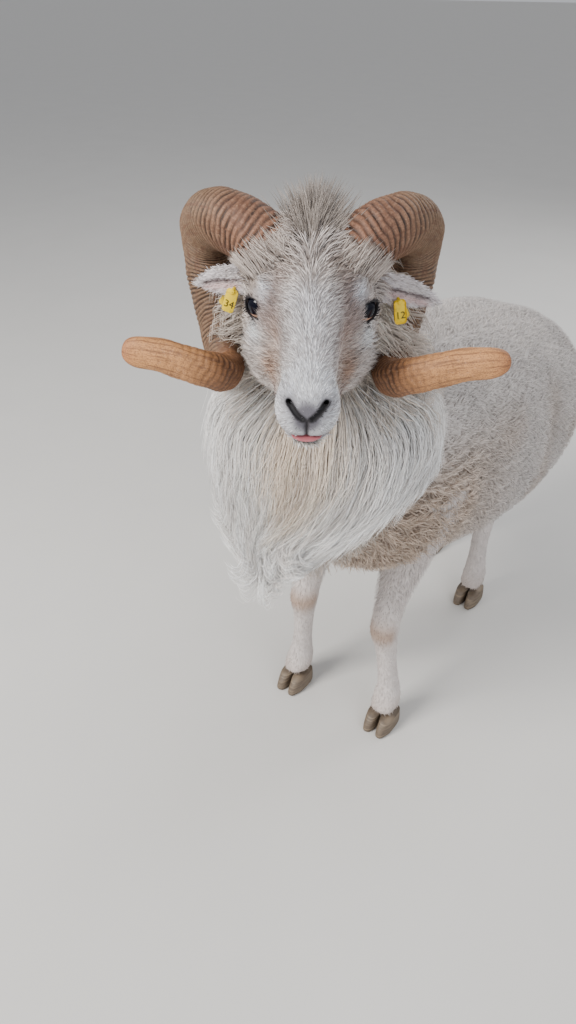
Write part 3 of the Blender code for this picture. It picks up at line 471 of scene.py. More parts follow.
def mesh_object(name, points, triangles):
    """An object of these points and triangles, all smooth."""
    points, triangles = np.asarray(points, float), np.asarray(triangles, int)
    mesh = bpy.data.meshes.new(name)
    mesh.vertices.add(len(points))
    mesh.vertices.foreach_set("co", points.ravel())
    mesh.loops.add(3 * len(triangles))
    mesh.loops.foreach_set("vertex_index", triangles.ravel())
    mesh.polygons.add(len(triangles))
    mesh.polygons.foreach_set("loop_start", np.arange(0, 3 * len(triangles), 3))
    mesh.polygons.foreach_set("use_smooth", np.ones(len(triangles), bool))
    mesh.update(calc_edges=True)
    made = bpy.data.objects.new(name, mesh)
    bpy.context.scene.collection.objects.link(made)
    return made


def grid_faces(near, beside, beyond, far):
    """Two triangles for each four corners."""
    return np.concatenate([
        np.stack([near, beside, beyond], -1).reshape(-1, 3),
        np.stack([near, beyond, far], -1).reshape(-1, 3),
    ])


def solid(name, points, faces):
    """A closed mesh, turned inside out if its normals point inwards."""
    corners = points[faces]
    volume = np.einsum("ij,ij->i", corners[:, 0], np.cross(corners[:, 1], corners[:, 2])).sum()
    return mesh_object(name, points, faces[:, ::-1] if volume < 0 else faces)


def loft(name, rings, flat_start=False):
    """A closed solid of triangles through rings of equal length, its normals out."""
    rings = np.asarray(rings, float)
    rows, count = rings.shape[:2]
    points = list(rings.reshape(-1, 3))
    i, j = np.meshgrid(np.arange(rows - 1), np.arange(count), indexing="ij")
    near, beside = i * count + j, i * count + (j + 1) % count
    faces = [grid_faces(near, beside, beside + count, near + count)]
    for row, inner in ((0, 1), (rows - 1, rows - 2)):
        middle = rings[row].mean(axis=0)
        if not (flat_start and row == 0):
            middle = middle + 0.35 * (middle - rings[inner].mean(axis=0))
        points.append(middle)
        j = np.arange(count)
        fan = np.stack([row * count + (j + 1) % count, row * count + j, np.full(count, len(points) - 1)], -1)
        faces.append(fan if row == 0 else fan[:, ::-1])
    return solid(name, np.array(points), np.concatenate(faces))


def tube(name, path, radius, around=8, closed=False):
    """A round bar along a path. A closed one joins its ends."""
    path = np.asarray(path, float)
    radius = np.broadcast_to(radius, len(path))
    if closed:
        along = unit(np.roll(path, -1, axis=0) - np.roll(path, 1, axis=0))
        wide = unit(path[0] - path.mean(axis=0))
    else:
        along = unit(np.gradient(path, axis=0))
        wide = np.array((0.31, 0.17, 0.93))
    rings = []
    for point, way, size in zip(path, along, radius):
        wide = unit(wide - way * np.dot(wide, way))
        thick = np.cross(way, wide)
        rings.append([point + u * wide + v * thick for u, v in oval(around, size, size, size)])
    if not closed:
        return loft(name, rings)
    rows = len(rings)
    i, j = np.meshgrid(np.arange(rows), np.arange(around), indexing="ij")
    near, beside = i * around + j, i * around + (j + 1) % around
    far, beyond = (i + 1) % rows * around + j, (i + 1) % rows * around + (j + 1) % around
    return solid(name, np.array(rings).reshape(-1, 3), grid_faces(near, beside, beyond, far))


def apply_modifier(made, kind, **settings):
    """Adds a modifier, sets it and applies it."""
    choose(made)
    modifier = made.modifiers.new("step", kind)
    for key, value in settings.items():
        setattr(modifier, key, value)
    bpy.ops.object.modifier_apply(modifier=modifier.name)


def combine(made, operation, others):
    """Joins the other objects to this one, or cuts them from it, and removes them."""
    group = bpy.data.collections.new("combined")
    bpy.context.scene.collection.children.link(group)
    for other in others:
        for home in list(other.users_collection):
            home.objects.unlink(other)
        group.objects.link(other)
    apply_modifier(made, "BOOLEAN", operation=operation, operand_type="COLLECTION", collection=group,
                   solver="MANIFOLD")
    for other in list(group.objects):
        bpy.data.objects.remove(other)
    bpy.data.collections.remove(group)
    return made


def join(made, others):
    choose(made)
    for other in others:
        other.select_set(True)
    bpy.ops.object.join()
    return made


def vertices_of(made):
    flat = np.empty(3 * len(made.data.vertices))
    made.data.vertices.foreach_get("co", flat)
    return flat.reshape(-1, 3)


def move_to(made, points):
    made.data.vertices.foreach_set("co", points.ravel())


def normals_of(made):
    flat = np.empty(3 * len(made.data.vertices))
    made.data.vertex_normals.foreach_get("vector", flat)
    return flat.reshape(-1, 3)


def tint(made, colours):
    """Stores a colour for each point of a mesh."""
    rows = np.concatenate([colours, np.ones((len(colours), 1))], axis=1)
    stored = made.data.attributes.new("coat", "FLOAT_COLOR", "POINT")
    stored.data.foreach_set("color", rows.astype(np.float32).ravel())


def screen(*levels):
    """A linear colour from screen levels of 0 to 255."""
    share = np.array(levels) / 255.0
    return np.where(share < 0.04045, share / 12.92, ((share + 0.055) / 1.055) ** 2.4)


def settle(made, finish, slot, *nodes):
    """Shifts a finished piece into the frame, and gives it its material and what it replaces."""
    made.data.transform(Matrix.Translation(Vector(SHIFT)))
    made.data.materials.clear()
    made.data.materials.append(finish)
    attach(made, "root")
    if nodes:
        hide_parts(*nodes)
    return made


# Sections of the body


def torso_rings(count, around, grow):
    rings = []
    for y, top, bottom, widest, half in through(TORSO_ROWS, count):
        ring = oval(around, half + grow, top - widest + grow, widest - bottom + grow, 0.88)
        rings.append([(x, y, widest + z) for x, z in ring])
    return rings


def neck_rings(count, around, grow):
    rings = []
    for z, x, y, half, front, back, turn in through(NECK_ROWS, count):
        c, s = math.cos(math.radians(turn)), math.sin(math.radians(turn))
        ring = oval(around, half + grow, back + grow, front + grow, 0.95)
        rings.append([(x + px * c - py * s, y + px * s + py * c, z) for px, py in ring])
    return rings


def leg_of(name):
    """A leg's rows and the sign of its side."""
    rows = FRONT_LEG_ROWS if name.startswith("front") else HIND_LEG_ROWS
    return rows, 1.0 if name.endswith("left") else -1.0


def leg_rings(name, count, around, grow):
    """A leg's level rings. All below the hock or knee takes the whole step, and the hip none of it."""
    rows, side = leg_of(name)
    step, top = STEPS[name], rows[0][0]
    rings = []
    for z, x, y, half_wide, half_deep in through(rows, count):
        share = min(1.0, (top - z) / (top - HOCK_HEIGHT))
        knee = gauss(z - (0.165 if name.startswith("front") else 0.170), 0.016)
        sinew = gauss(z - 0.10, 0.030)
        ring = oval(around, half_wide + grow, half_deep + grow, half_deep + grow, 0.95)
        fore = ring[:, 1] < 0
        ring[:, 0] *= 1 + 0.05 * knee - 0.10 * sinew * np.abs(ring[:, 1]) / (half_deep + grow)
        ring[:, 1] += np.where(fore, -0.0012 * knee, 0.0010 * sinew)
        middle = np.array((x + share * step[0], y + share * step[1]))
        rings.append([(side * (middle[0] + px), middle[1] + py, z) for px, py in ring])
    return rings


def tail_rings(count, around, grow):
    rings = []
    for y, z, half_wide, half_thick in through(TAIL_ROWS, count):
        ring = oval(around, half_wide + grow, half_thick + grow, half_thick + grow)
        rings.append([(px, y + pz, z - 0.3 * pz) for px, pz in ring])
    return rings


def scrotum_rings(count, around, grow):
    rings = []
    for z, y, half_wide, half_deep in through(SCROTUM_ROWS, count):
        ring = oval(around, half_wide + grow, half_deep + grow, half_deep + grow)
        split = 1 - 0.12 * gauss(ring[:, 0], 0.008) * gauss(z - 0.125, 0.03)
        rings.append([(u, y + v * k, z) for (u, v), k in zip(ring, split)])
    return rings


def head_rings(count, around, grow):
    """The skull's form with flesh. The orbits swell from the plain section."""
    rings = []
    for y, top, bottom, widest, half in through(HEAD_ROWS, count):
        ring = oval(around, half + grow, top - widest + grow, widest - bottom + grow, 0.92)
        z = widest + ring[:, 1]
        orbit = np.exp(-((y - 0.001) / 0.019) ** 2 - ((z - EYE_RISE - 0.004) / 0.016) ** 2)
        swell = 0.0055 * orbit * np.minimum(1.0, np.abs(ring[:, 0]) / 0.02)
        side = ring[:, 0] + np.copysign(swell, ring[:, 0])
        rings.append(placed(np.stack([side, np.full(around, y), z], -1), head_frame()))
    return rings


def ear_cup(share, rise):
    """How deep an ear is cupped, by the share of its length and the height across it."""
    return (0.007 * (1 - share) + 0.003) * (2 * rise / EAR_WIDE) ** 2


def ear_rings(label, count, around):
    """A rounded leaf, cupped to the front."""
    side, length = SIDES[label], EAR_LENGTH[label]
    rings = []
    for share in np.linspace(0.0, 1.0, count):
        wide = EAR_WIDE * (0.55 + 0.45 * math.sin(math.pi * share**0.8)) * math.sqrt(1.03 - share**4)
        u, v = oval(around, wide / 2, EAR_THICK / 2, EAR_THICK / 2).T
        fold = 0.0008 * gauss(u + 0.003, 0.002) * math.sin(math.pi * share)
        out = np.full(around, side * length * share)
        ring = np.stack([out, v - ear_cup(share, u) + fold, u - EAR_SAG * share**2], -1)
        rings.append(placed(ring, ear_frame(side)))
    return rings


# The skin


def ball(name, radius, place, segments, rings):
    """A sphere at a frame's origin."""
    deselect()
    bpy.ops.mesh.primitive_uv_sphere_add(radius=radius, segments=segments, ring_count=rings)
    made = bpy.context.object
    made.name = name
    made.data.transform(place)
    return made


def slit_outline(side, scale, grow=0.0):
    """The almond of the opening between the lids, as (across, rise) pairs in the eye's frame."""
    angles = np.linspace(0.0, 2 * math.pi, SLIT_POINTS, endpoint=False)
    tilt = math.radians(SLIT_TILT)
    u = (EYE_SLIT[0] + grow) * np.cos(angles)
    v = (EYE_SLIT[1] + grow) * np.sin(angles) * (1 - 0.45 * np.abs(np.cos(angles)) ** 3)
    across, rise = u * math.cos(tilt) + v * math.sin(tilt), v * math.cos(tilt) - u * math.sin(tilt)
    return np.stack([side * scale * across, scale * rise], -1)


def slit_cutter(side):
    """A solid that widens outwards from the opening between the lids."""
    rings = []
    for reach, scale in ((-0.004, 0.80), (-0.030, 1.25)):
        flat = slit_outline(side, scale)
        ring = np.stack([flat[:, 0], np.full(SLIT_POINTS, reach), flat[:, 1]], -1)
        rings.append(placed(ring, gaze_frame(side)))
    return loft("slit", rings, flat_start=True)


def lid_edge(side, lift, grow):
    """The lids' edge as points on a ball a little larger than the eye's."""
    flat = slit_outline(side, 0.97, grow)
    radius = EYE_RADIUS + lift
    depth = -np.sqrt(np.maximum(radius**2 - flat[:, 0] ** 2 - flat[:, 1] ** 2, 0.0))
    return placed(np.stack([flat[:, 0], depth, flat[:, 1]], -1), gaze_frame(side))


def mouth_cutter():
    """A thin solid between the lips."""
    rings = []
    for y, z, half in through(MOUTH_ROWS, 10):
        upper = [(x, y, z + half + MOUTH_CURVE * x * x) for x in np.linspace(-0.036, 0.036, 25)]
        lower = [(x, y, z - half + MOUTH_CURVE * x * x) for x in np.linspace(0.036, -0.036, 25)]
        rings.append(placed(upper + lower, head_frame()))
    return loft("mouth", rings)


def to_segment(points, start, end):
    """Distances from points to a straight line between two points."""
    start, end = np.array(start), np.array(end)
    share = np.clip((points - start) @ (end - start) / np.sum((end - start) ** 2), 0.0, 1.0)
    return np.linalg.norm(points - start - share[:, None] * (end - start), axis=1)


def near_spot(points, spot, reach):
    """1 at a spot and less around it, by three reaches."""
    return np.exp(-np.sum(((points - np.array(spot)) / np.array(reach)) ** 2, axis=1))


def sum_spots(spots, points):
    """How far all these swellings and hollows lift points of the mirrored side."""
    return sum(height * near_spot(points, middle, reach) for height, middle, reach in spots)


def face_relief(points):
    """How far the head's skin rises or sinks at points of the head's own frame."""
    points = mirrored(points)
    x, y, z = points.T
    rise = sum_spots(FACE_SPOTS, points) - 0.0020 * gauss(to_segment(points, *TEAR_LINE), 0.0022)
    lip_groove = gauss(x, 0.0012) * ramp(-y, 0.100, 0.106) * ramp(-z, 0.013, 0.017) * ramp(z, -0.036, -0.031)
    return rise - 0.0014 * lip_groove


def head_skin():
    """The head with its ears, lids, nostrils and the opening of the mouth."""
    head = loft("head_skin", head_rings(110, 96, -HEAD_DEPTH))
    lids = [ball("lid", EYE_RADIUS + LID_THICK, gaze_frame(side), 40, 26) for side in SIDES.values()]
    ears = [loft("ear_skin", ear_rings(label, 40, 40)) for label in EAR_LENGTH]
    combine(head, "UNION", lids + ears)
    apply_modifier(head, "REMESH", mode="VOXEL", voxel_size=HEAD_GRAIN)
    apply_modifier(head, "SMOOTH", factor=0.5, iterations=4)
    points = vertices_of(head)
    local = seen_from(points, head_frame())
    move_to(head, points + normals_of(head) * face_relief(local)[:, None])
    rims = [tube("rim", lid_edge(side, 0.0005, 0.0005), 0.0010, 10, closed=True) for side in SIDES.values()]
    cuts = [mouth_cutter()]
    nostril = through(NOSTRIL_ROWS, 24)
    for side in SIDES.values():
        cuts.append(ball("socket", EYE_RADIUS + 0.0004, gaze_frame(side), 48, 32))
        cuts.append(slit_cutter(side))
        path = placed(nostril[:, :3] * (side, 1, 1), head_frame())
        cuts.append(tube("nostril", path, nostril[:, 3], 14))
    combine(head, "DIFFERENCE", cuts)
    return combine(head, "UNION", rims)


def body_relief(points):
    """How far the trunk rises or sinks, with ripples in the breast and a hollow along the spine."""
    rise = sum_spots(TRUNK_SPOTS, mirrored(points)) + 0.0016 * ripples(points)
    return rise - 0.0025 * gauss(points[:, 0], 0.018) * ramp(points[:, 2], 0.40, 0.44)


def soften_joins(body):
    """Smooths the skin where the legs leave the trunk."""
    points = vertices_of(body)
    x, y, z = points.T
    weights = np.zeros(len(points))
    for name in STEPS:
        rows, side = leg_of(name)
        height, out, along = np.array(rows)[::-1, :3].T
        leg_x = side * (np.interp(z, height, out) + STEPS[name][0])
        leg_y = np.interp(z, height, along) + STEPS[name][1]
        near = 1 - ramp(np.hypot(x - leg_x, y - leg_y), 0.060, 0.095)
        weights = np.maximum(weights, near * ramp(z, 0.175, 0.215) * ramp(-z, -0.320, -0.270))
    group = body.vertex_groups.new(name="joins")
    for number in np.nonzero(weights > 0.01)[0]:
        group.add([int(number)], float(weights[number]), "REPLACE")
    apply_modifier(body, "SMOOTH", factor=0.6, iterations=26, vertex_group="joins")
    body.vertex_groups.clear()


def body_skin():
    """The trunk, neck, legs, tail and scrotum flowing into each other."""
    body = loft("ram_skin", torso_rings(60, 72, -TRUNK_DEPTH))
    others = [
        loft("neck_skin", neck_rings(50, 60, -NECK_DEPTH)),
        loft("tail_skin", tail_rings(30, 30, -TAIL_DEPTH)),
        loft("scrotum_skin", scrotum_rings(30, 36, -SCROTUM_DEPTH)),
    ]
    for name in STEPS:
        others.append(loft("leg_skin", leg_rings(name, 70, 36, -LEG_DEPTH)[::-1], flat_start=True))
    combine(body, "UNION", others)
    apply_modifier(body, "REMESH", mode="VOXEL", voxel_size=BODY_GRAIN)
    apply_modifier(body, "SMOOTH", factor=0.5, iterations=5)
    points = vertices_of(body)
    move_to(body, points + normals_of(body) * body_relief(points)[:, None])
    soften_joins(body)
    return body


def region_finder():
    """A function that gives the region of the body to which each of its points belongs."""
    sets = [
        (TRUNK, torso_rings(60, 60, -TRUNK_DEPTH)),
        (NECK, neck_rings(50, 60, -NECK_DEPTH)),
        (HEAD, head_rings(70, 70, -HEAD_DEPTH)),
        (EAR_LEFT, ear_rings("left", 24, 24)),
        (EAR_RIGHT, ear_rings("right", 24, 24)),
        (TAIL, tail_rings(24, 24, -TAIL_DEPTH)),
        (SCROTUM, scrotum_rings(24, 24, -SCROTUM_DEPTH)),
    ]
    sets += [(LEGS, leg_rings(name, 60, 24, -LEG_DEPTH)) for name in STEPS]
    parts = [np.array(rings).reshape(-1, 3) for _, rings in sets]
    regions = np.repeat([region for region, _ in sets], [len(part) for part in parts])
    nearest = finder(np.concatenate(parts))
    return lambda points: regions[nearest(points)]


class Surface:
    """The skin's triangles as arrays: corners, normals at the corners, places on the unwrap, regions."""

    def __init__(self, skin, regions_at):
        mesh = skin.data
        mesh.calc_loop_triangles()
        count = len(mesh.loop_triangles)
        corners = np.empty(3 * count, int)
        mesh.loop_triangles.foreach_get("vertices", corners)
        loops = np.empty(3 * count, int)
        mesh.loop_triangles.foreach_get("loops", loops)
        flat = np.empty(2 * len(mesh.loops))
        mesh.uv_layers["UVMap"].uv.foreach_get("vector", flat)
        self.points = vertices_of(skin)[corners].reshape(-1, 3, 3)
        self.normals = normals_of(skin)[corners].reshape(-1, 3, 3)
        self.unwrap = flat.reshape(-1, 2)[loops].reshape(-1, 3, 2)
        self.middles = self.points.mean(axis=1)
        sides = np.cross(self.points[:, 1] - self.points[:, 0], self.points[:, 2] - self.points[:, 0])
        self.areas = np.linalg.norm(sides, axis=1) / 2
        self.regions = regions_at(self.middles)
        self.nearest = finder(self.middles)

    def unwrap_near(self, spots):
        """Places on the skin's unwrap next to the given spots."""
        return self.unwrap[self.nearest(spots)].mean(axis=1)

    def roots(self, spacing, where, seed):
        """Random even roots about `spacing` apart. `where` thins them for each triangle, from 1 to 0."""
        draw = np.random.default_rng(seed)
        share = np.cumsum(self.areas * where)
        count = int(SHARE * share[-1] / spacing**2)
        picks = np.searchsorted(share, (np.arange(count) + draw.random(count)) / count * share[-1])
        picks = np.minimum(picks, len(share) - 1)
        a, b = np.sqrt(draw.random(count)), draw.random(count)
        weights = np.stack([1 - a, a * (1 - b), a * b], -1)[:, :, None]
        return {
            "at": np.sum(self.points[picks] * weights, axis=1),
            "out": unit(np.sum(self.normals[picks] * weights, axis=1)),
            "unwrap": np.sum(self.unwrap[picks] * weights, axis=1),
            "region": self.regions[picks],
        }


# Markings, shared by the skin and the coat


def markings(points, regions):
    """The coat's colour at points of the skin."""
    _, x, y, z = in_head(points)
    along, level = points[:, 1], points[:, 2]
    fine, broad = wander(points, 0.012, 21)[:, None], wander(points, 0.060, 22)[:, None]
    fleece = screen(214, 207, 203) * (1 + 0.05 * broad + 0.05 * fine)
    flank = ramp(wander(points, 0.085, 23), -0.1, 0.9) * ramp(-level, -0.42, -0.36)
    fleece = mixed(fleece, screen(188, 170, 156), 0.45 * flank)
    breast = ramp(-level, -0.425, -0.345) * ramp(-along, -0.22, -0.02)
    # Painted light and shade: the breast's wool is lighter on the crests of its ripples and darker in their
    # troughs.
    fleece = mixed(fleece, screen(200, 176, 154), 0.80 * breast) * (1 + 0.32 * ripples(points))[:, None]
    fleece = mixed(fleece, screen(214, 204, 190), ramp(-level, -0.215, -0.185) * (1 - breast))
    fleece = mixed(fleece, screen(224, 216, 212) * (1 + 0.04 * fine), sleeves(points))
    knee = gauss(level - 0.160, 0.016) * ramp(-along, -0.004, 0.010) * (np.abs(points[:, 0]) < 0.09)
    leg = mixed(screen(226, 217, 213) * (1 + 0.04 * fine), screen(172, 138, 112), 0.75 * knee)
    leg = mixed(leg, screen(190, 172, 160), 0.5 * gauss(level - 0.030, 0.018))
    colours = {
        TRUNK: fleece,
        NECK: screen(206, 194, 182) * (1 + 0.08 * fine),
        HEAD: head_markings(x, y, z, fine, broad),
        EAR_LEFT: ear_markings("left", points, fine),
        EAR_RIGHT: ear_markings("right", points, fine),
        TAIL: fleece,
        SCROTUM: screen(196, 176, 162),
        LEGS: leg,
    }
    shown = np.zeros((len(points), 3))
    for region, colour in colours.items():
        shown = np.where((regions == region)[:, None], colour, shown)
    return np.clip(shown, 0.005, 0.95)


def sleeves(points):
    """From 0 to 1, where the front legs' short white hair reaches up over the breast."""
    reach = np.hypot((np.abs(points[:, 0]) - 0.062) / 0.042, (points[:, 1] - 0.030) / 0.052)
    return (1 - ramp(reach, 0.80, 1.10)) * ramp(-points[:, 2], -0.268, -0.250)


def ear_markings(label, points, fine):
    """White ears with a dark fold, pink under it."""
    side = SIDES[label]
    local = seen_from(points, ear_frame(side))
    share = side * local[:, 0] / EAR_LENGTH[label]
    u = local[:, 2] + EAR_SAG * share**2
    front = local[:, 1] + ear_cup(share, u) < 0
    within = ramp(share, 0.22, 0.36) * (1 - ramp(share, 0.80, 0.92)) * front
    pink = gauss(u + 0.0068 - 0.003 * share, 0.0030) * within
    fold = gauss(u + 0.0030 - 0.0035 * share, 0.0015) * within
    ear = mixed(screen(222, 216, 218) * (1 + 0.06 * fine), screen(214, 180, 178), 0.75 * pink)
    return mixed(ear, screen(82, 66, 68), 0.95 * fold)


def head_markings(x, y, z, fine, broad):
    """The face's colour from places in the head's frame, the side taken without its sign. The layers lie over
    each other in their order."""
    spots = np.stack([x, y, z], -1)
    forehead = ramp(y, -0.024, 0.006) * ramp(z, 0.000, 0.018) * ramp(x, 0.003, 0.020)
    flank = ramp(x, 0.012, 0.024) * ramp(-y, -0.004, 0.012) * ramp(z, -0.004, 0.008)
    bridge = ramp(-y, 0.010, 0.040) * gauss(x, 0.016) * ramp(z, -0.010, 0.004)
    stripe = gauss(x - 0.0275, 0.0058) * gauss(y + 0.058, 0.018) * ramp(z, -0.036, -0.014)
    swell = gauss(x - 0.0270, 0.0060) * gauss(y + 0.024, 0.011) * ramp(z, -0.020, -0.008)
    below_eye = near_spot(spots, (0.0380, -0.016, -0.0110), (0.0110, 0.013, 0.009))
    above_eye = near_spot(spots, (0.034, -0.008, 0.020), (0.008, 0.012, 0.008))
    cheek = ramp(y, -0.010, 0.030) * ramp(-z, 0.000, 0.030)
    gap = to_nostril(x, y, z)
    pad = (1 - ramp(np.hypot(x / 0.0125, (z + 0.0135) / 0.0120), 0.55, 1.15)) * ramp(-y, 0.099, 0.105)
    groove = gauss(x, 0.0019) * ramp(-y, 0.100, 0.106) * ramp(-z, 0.012, 0.016) * ramp(z, -0.038, -0.033)
    mouth = mouth_line(x, y)
    lips = gauss(z - mouth, 0.0034) * ramp(-y, 0.060, 0.070)
    chin = ramp(-y, 0.070, 0.085) * ramp(mouth - z, 0.003, 0.006)
    # Painted shade: the furrow from the eye's corner is darkened along TEAR_LINE.
    tear_furrow_shade = gauss(to_segment(spots, *TEAR_LINE), 0.0023)
    face = screen(206, 197, 192) * (1 + 0.08 * fine)
    for colour, amount in (
        ((172, 156, 144), forehead * (0.70 + 0.35 * broad[:, 0])),
        ((172, 154, 148), 0.72 * flank),
        ((226, 225, 229), 0.95 * bridge),
        ((170, 126, 94), 0.95 * stripe),
        ((148, 128, 122), 0.80 * swell),
        ((244, 249, 255), 1.25 * below_eye),
        ((230, 235, 244), 0.9 * above_eye),
        ((208, 196, 184), 0.7 * cheek),
        ((236, 238, 244), 0.85 * ramp(-y, 0.078, 0.094)),
        ((112, 108, 118), np.maximum(0.95 * pad, 0.88 * gauss(gap, 0.0062))),
        ((24, 21, 26), 1 - ramp(gap, 0.0019, 0.0036)),
        ((44, 38, 44), groove),
        ((88, 66, 70), 0.85 * lips),
        ((232, 228, 220), 0.8 * chin),
        ((34, 28, 32), lid_margin(x, y, z)),
        ((58, 48, 50), 0.95 * tear_furrow_shade),
    ):
        face = mixed(face, screen(*colour), np.clip(amount, 0, 1))
    return face


def lid_margin(x, y, z):
    """1 on the dark margin of the lids and inside it."""
    eye = np.stack([x - EYE_SIDE, y, z - EYE_RISE], -1)
    turn = Matrix.Rotation(math.radians(EYE_TURN), 3, "Z") @ Matrix.Rotation(-math.radians(EYE_LIFT), 3, "X")
    across, _, rise = (eye @ np.array(turn)).T
    c, s = math.cos(math.radians(SLIT_TILT)), math.sin(math.radians(SLIT_TILT))
    u, v = across * c - rise * s, across * s + rise * c
    beyond = np.hypot(u / (EYE_SLIT[0] + 0.0007), v / (EYE_SLIT[1] * 0.90 + 0.0007))
    close = (np.linalg.norm(eye, axis=1) < EYE_RADIUS + 0.006) & (y < 0.012)
    return np.where(close, 1 - ramp(beyond, 0.98, 1.12), 0.0)


def mouth_line(x, y, column=1):
    """The height of the lips' line, or with column 2 its half opening, in the head's frame."""
    along, values = np.array(MOUTH_ROWS)[:, (0, column)].T
    return np.interp(-y, -along, values) + (MOUTH_CURVE * x * x if column == 1 else 0.0)


def to_eye(x, y, z):
    """Distance to the eyeball's middle."""
    return np.linalg.norm(np.stack([x - EYE_SIDE, y, z - EYE_RISE], -1), axis=1)


def to_nostril(x, y, z):
    """Distance to the nostril's line."""
    spots = np.stack([x, y, z], -1)
    nearest = np.full(len(x), 1.0)
    for start, end in zip(NOSTRIL_ROWS, NOSTRIL_ROWS[1:]):
        nearest = np.minimum(nearest, to_segment(spots, start[:3], end[:3]))
    return nearest


# Tufts and locks


def face_flow(at):
    """The way the hair lies on the head: back over the face, away from the eyes, the nose and the crown."""
    local, x, y, z = in_head(at)
    side = np.sign(local[:, 0]) * ramp(x, 0.0, 0.010)
    front, crown = ramp(-y, 0.020, 0.070), ramp(y, -0.010, 0.022) * ramp(z, 0.020, 0.040)
    spread = side * (0.62 - 0.20 * front + 0.75 * crown)
    ways = np.stack([spread, 0.55 + 0.45 * front, 0.30 * crown - 0.35 * ramp(-z, 0.0, 0.03)], -1)
    from_eye = local - np.stack([np.sign(local[:, 0]) * EYE_SIDE, 0 * y, 0 * z + EYE_RISE], -1)
    near_eye = gauss(np.maximum(np.linalg.norm(from_eye, axis=1) - 0.0135, 0.0), 0.0055)
    ways = ways + 2.2 * near_eye[:, None] * unit(from_eye) * (1, 0.6, 1)
    from_nose = local - np.stack([0.30 * local[:, 0], 0 * y - 0.104, 0 * z - 0.012], -1)
    near_nose = gauss(np.linalg.norm(from_nose, axis=1), 0.017)
    ways = ways + 2.6 * near_nose[:, None] * unit(from_nose)
    chin = ramp(-y, 0.075, 0.095) * ramp(-z, 0.034, 0.040)
    ways = ways + chin[:, None] * np.array((0.0, -2.2, -1.0))
    return ways @ np.array(head_frame().to_3x3()).T


def flow(roots):
    """The way the coat lies at its roots, along the skin."""
    at, out, region = roots["at"], roots["out"], roots["region"]
    ways = (0.0, 1.0, -0.45) + ripples(at)[:, None] * np.array((0.5, 0.9, 0.4))
    for chosen, way in (
        (region == HEAD, face_flow(at)),
        (region == NECK, (0.05, 0.25, -1.0)),
        (region == EAR_LEFT, np.array(ear_frame(1.0).to_3x3())[:, 0]),
        (region == EAR_RIGHT, -np.array(ear_frame(-1.0).to_3x3())[:, 0]),
        ((region == TAIL) | (region == SCROTUM) | (region == LEGS), (0.0, 0.12, -1.0)),
    ):
        ways = np.where(chosen[:, None], way, ways)
    swirl = np.stack([wander(at, 0.030, seed) for seed in (31, 32, 33)], -1)
    ways = unit(ways) + swirl * np.where(region == TRUNK, 0.50, 0.20)[:, None]
    return unit(ways - out * np.sum(ways * out, axis=1, keepdims=True))


def ripples(at):
    """Waves of the wool on the breast and the low shoulder, from -1 to 1."""
    along, level = at[:, 1], at[:, 2]
    low = ramp(-level, -0.420, -0.360) * ramp(-along, -0.210, -0.060) * ramp(level, 0.215, 0.255)
    crossing = level + 0.006 * wander(at, 0.040, 71) + 0.15 * along
    return low * np.sin(2 * math.pi * crossing / RIPPLE_PITCH)


def strands(name, paths, widths, outs, colours, unwraps, shade=(0.72, 1.06), flat=0.55):
    """One mesh of three-sided tapering blades. `paths` is (blades, points, 3) and ends with the tips."""
    count, rows = paths.shape[:2]
    along = unit(np.gradient(paths, axis=1))
    across = unit(np.cross(along, outs[:, None, :]))
    lift = np.cross(across, along)
    angles = np.radians((90.0, 210.0, 330.0))
    wide, thick = across[:, :-1, None, :], flat * lift[:, :-1, None, :]
    ring = wide * np.cos(angles)[:, None] + thick * np.sin(angles)[:, None]
    body = paths[:, :-1, None, :] + widths[:, :-1, None, None] * ring
    points = np.concatenate([body.reshape(count, -1, 3), paths[:, -1:, :]], axis=1)
    each = points.shape[1]
    faces = [(0, 2, 1)]
    for row in range(rows - 2):
        for side in range(3):
            near, beside = 3 * row + side, 3 * row + (side + 1) % 3
            faces += [(near, beside, beside + 3), (near, beside + 3, near + 3)]
    last = 3 * (rows - 2)
    faces += [(last + side, last + (side + 1) % 3, each - 1) for side in range(3)]
    faces = np.array(faces)
    triangles = (faces[None] + each * np.arange(count)[:, None, None]).reshape(-1, 3)
    made = mesh_object(name, points.reshape(-1, 3), triangles)
    level = np.append(np.repeat(np.linspace(0.0, 1.0, rows)[:-1], 3), 1.0)
    # Painted shade darkens each blade towards its root, and painted light brightens its tip, by the two
    # values of `shade`.
    root_shade_tip_light = shade[0] + (shade[1] - shade[0]) * level**0.7
    tint(made, np.clip(colours[:, None, :] * root_shade_tip_light[None, :, None], 0.003, 0.97).reshape(-1, 3))
    patch = np.stack([np.append(np.tile((-0.5, 0.0, 0.5), rows - 1), 0.0), level - 0.5], -1) * BAKE_PATCH
    corners = unwraps[:, None, None, :] + patch[faces][None]
    layer = made.data.uv_layers.new(name="OFBake")
    layer.uv.foreach_set("vector", corners.reshape(-1, 2).astype(np.float32).ravel())
    return made


def lay_hair(surface, finish, slot, name, paths, widths, outs, colours, **look):
    """One finished piece of long hair."""
    unwraps = surface.unwrap_near(paths[:, 0])
    settle(strands(name, paths, widths, outs, colours, unwraps, **look), finish, slot)


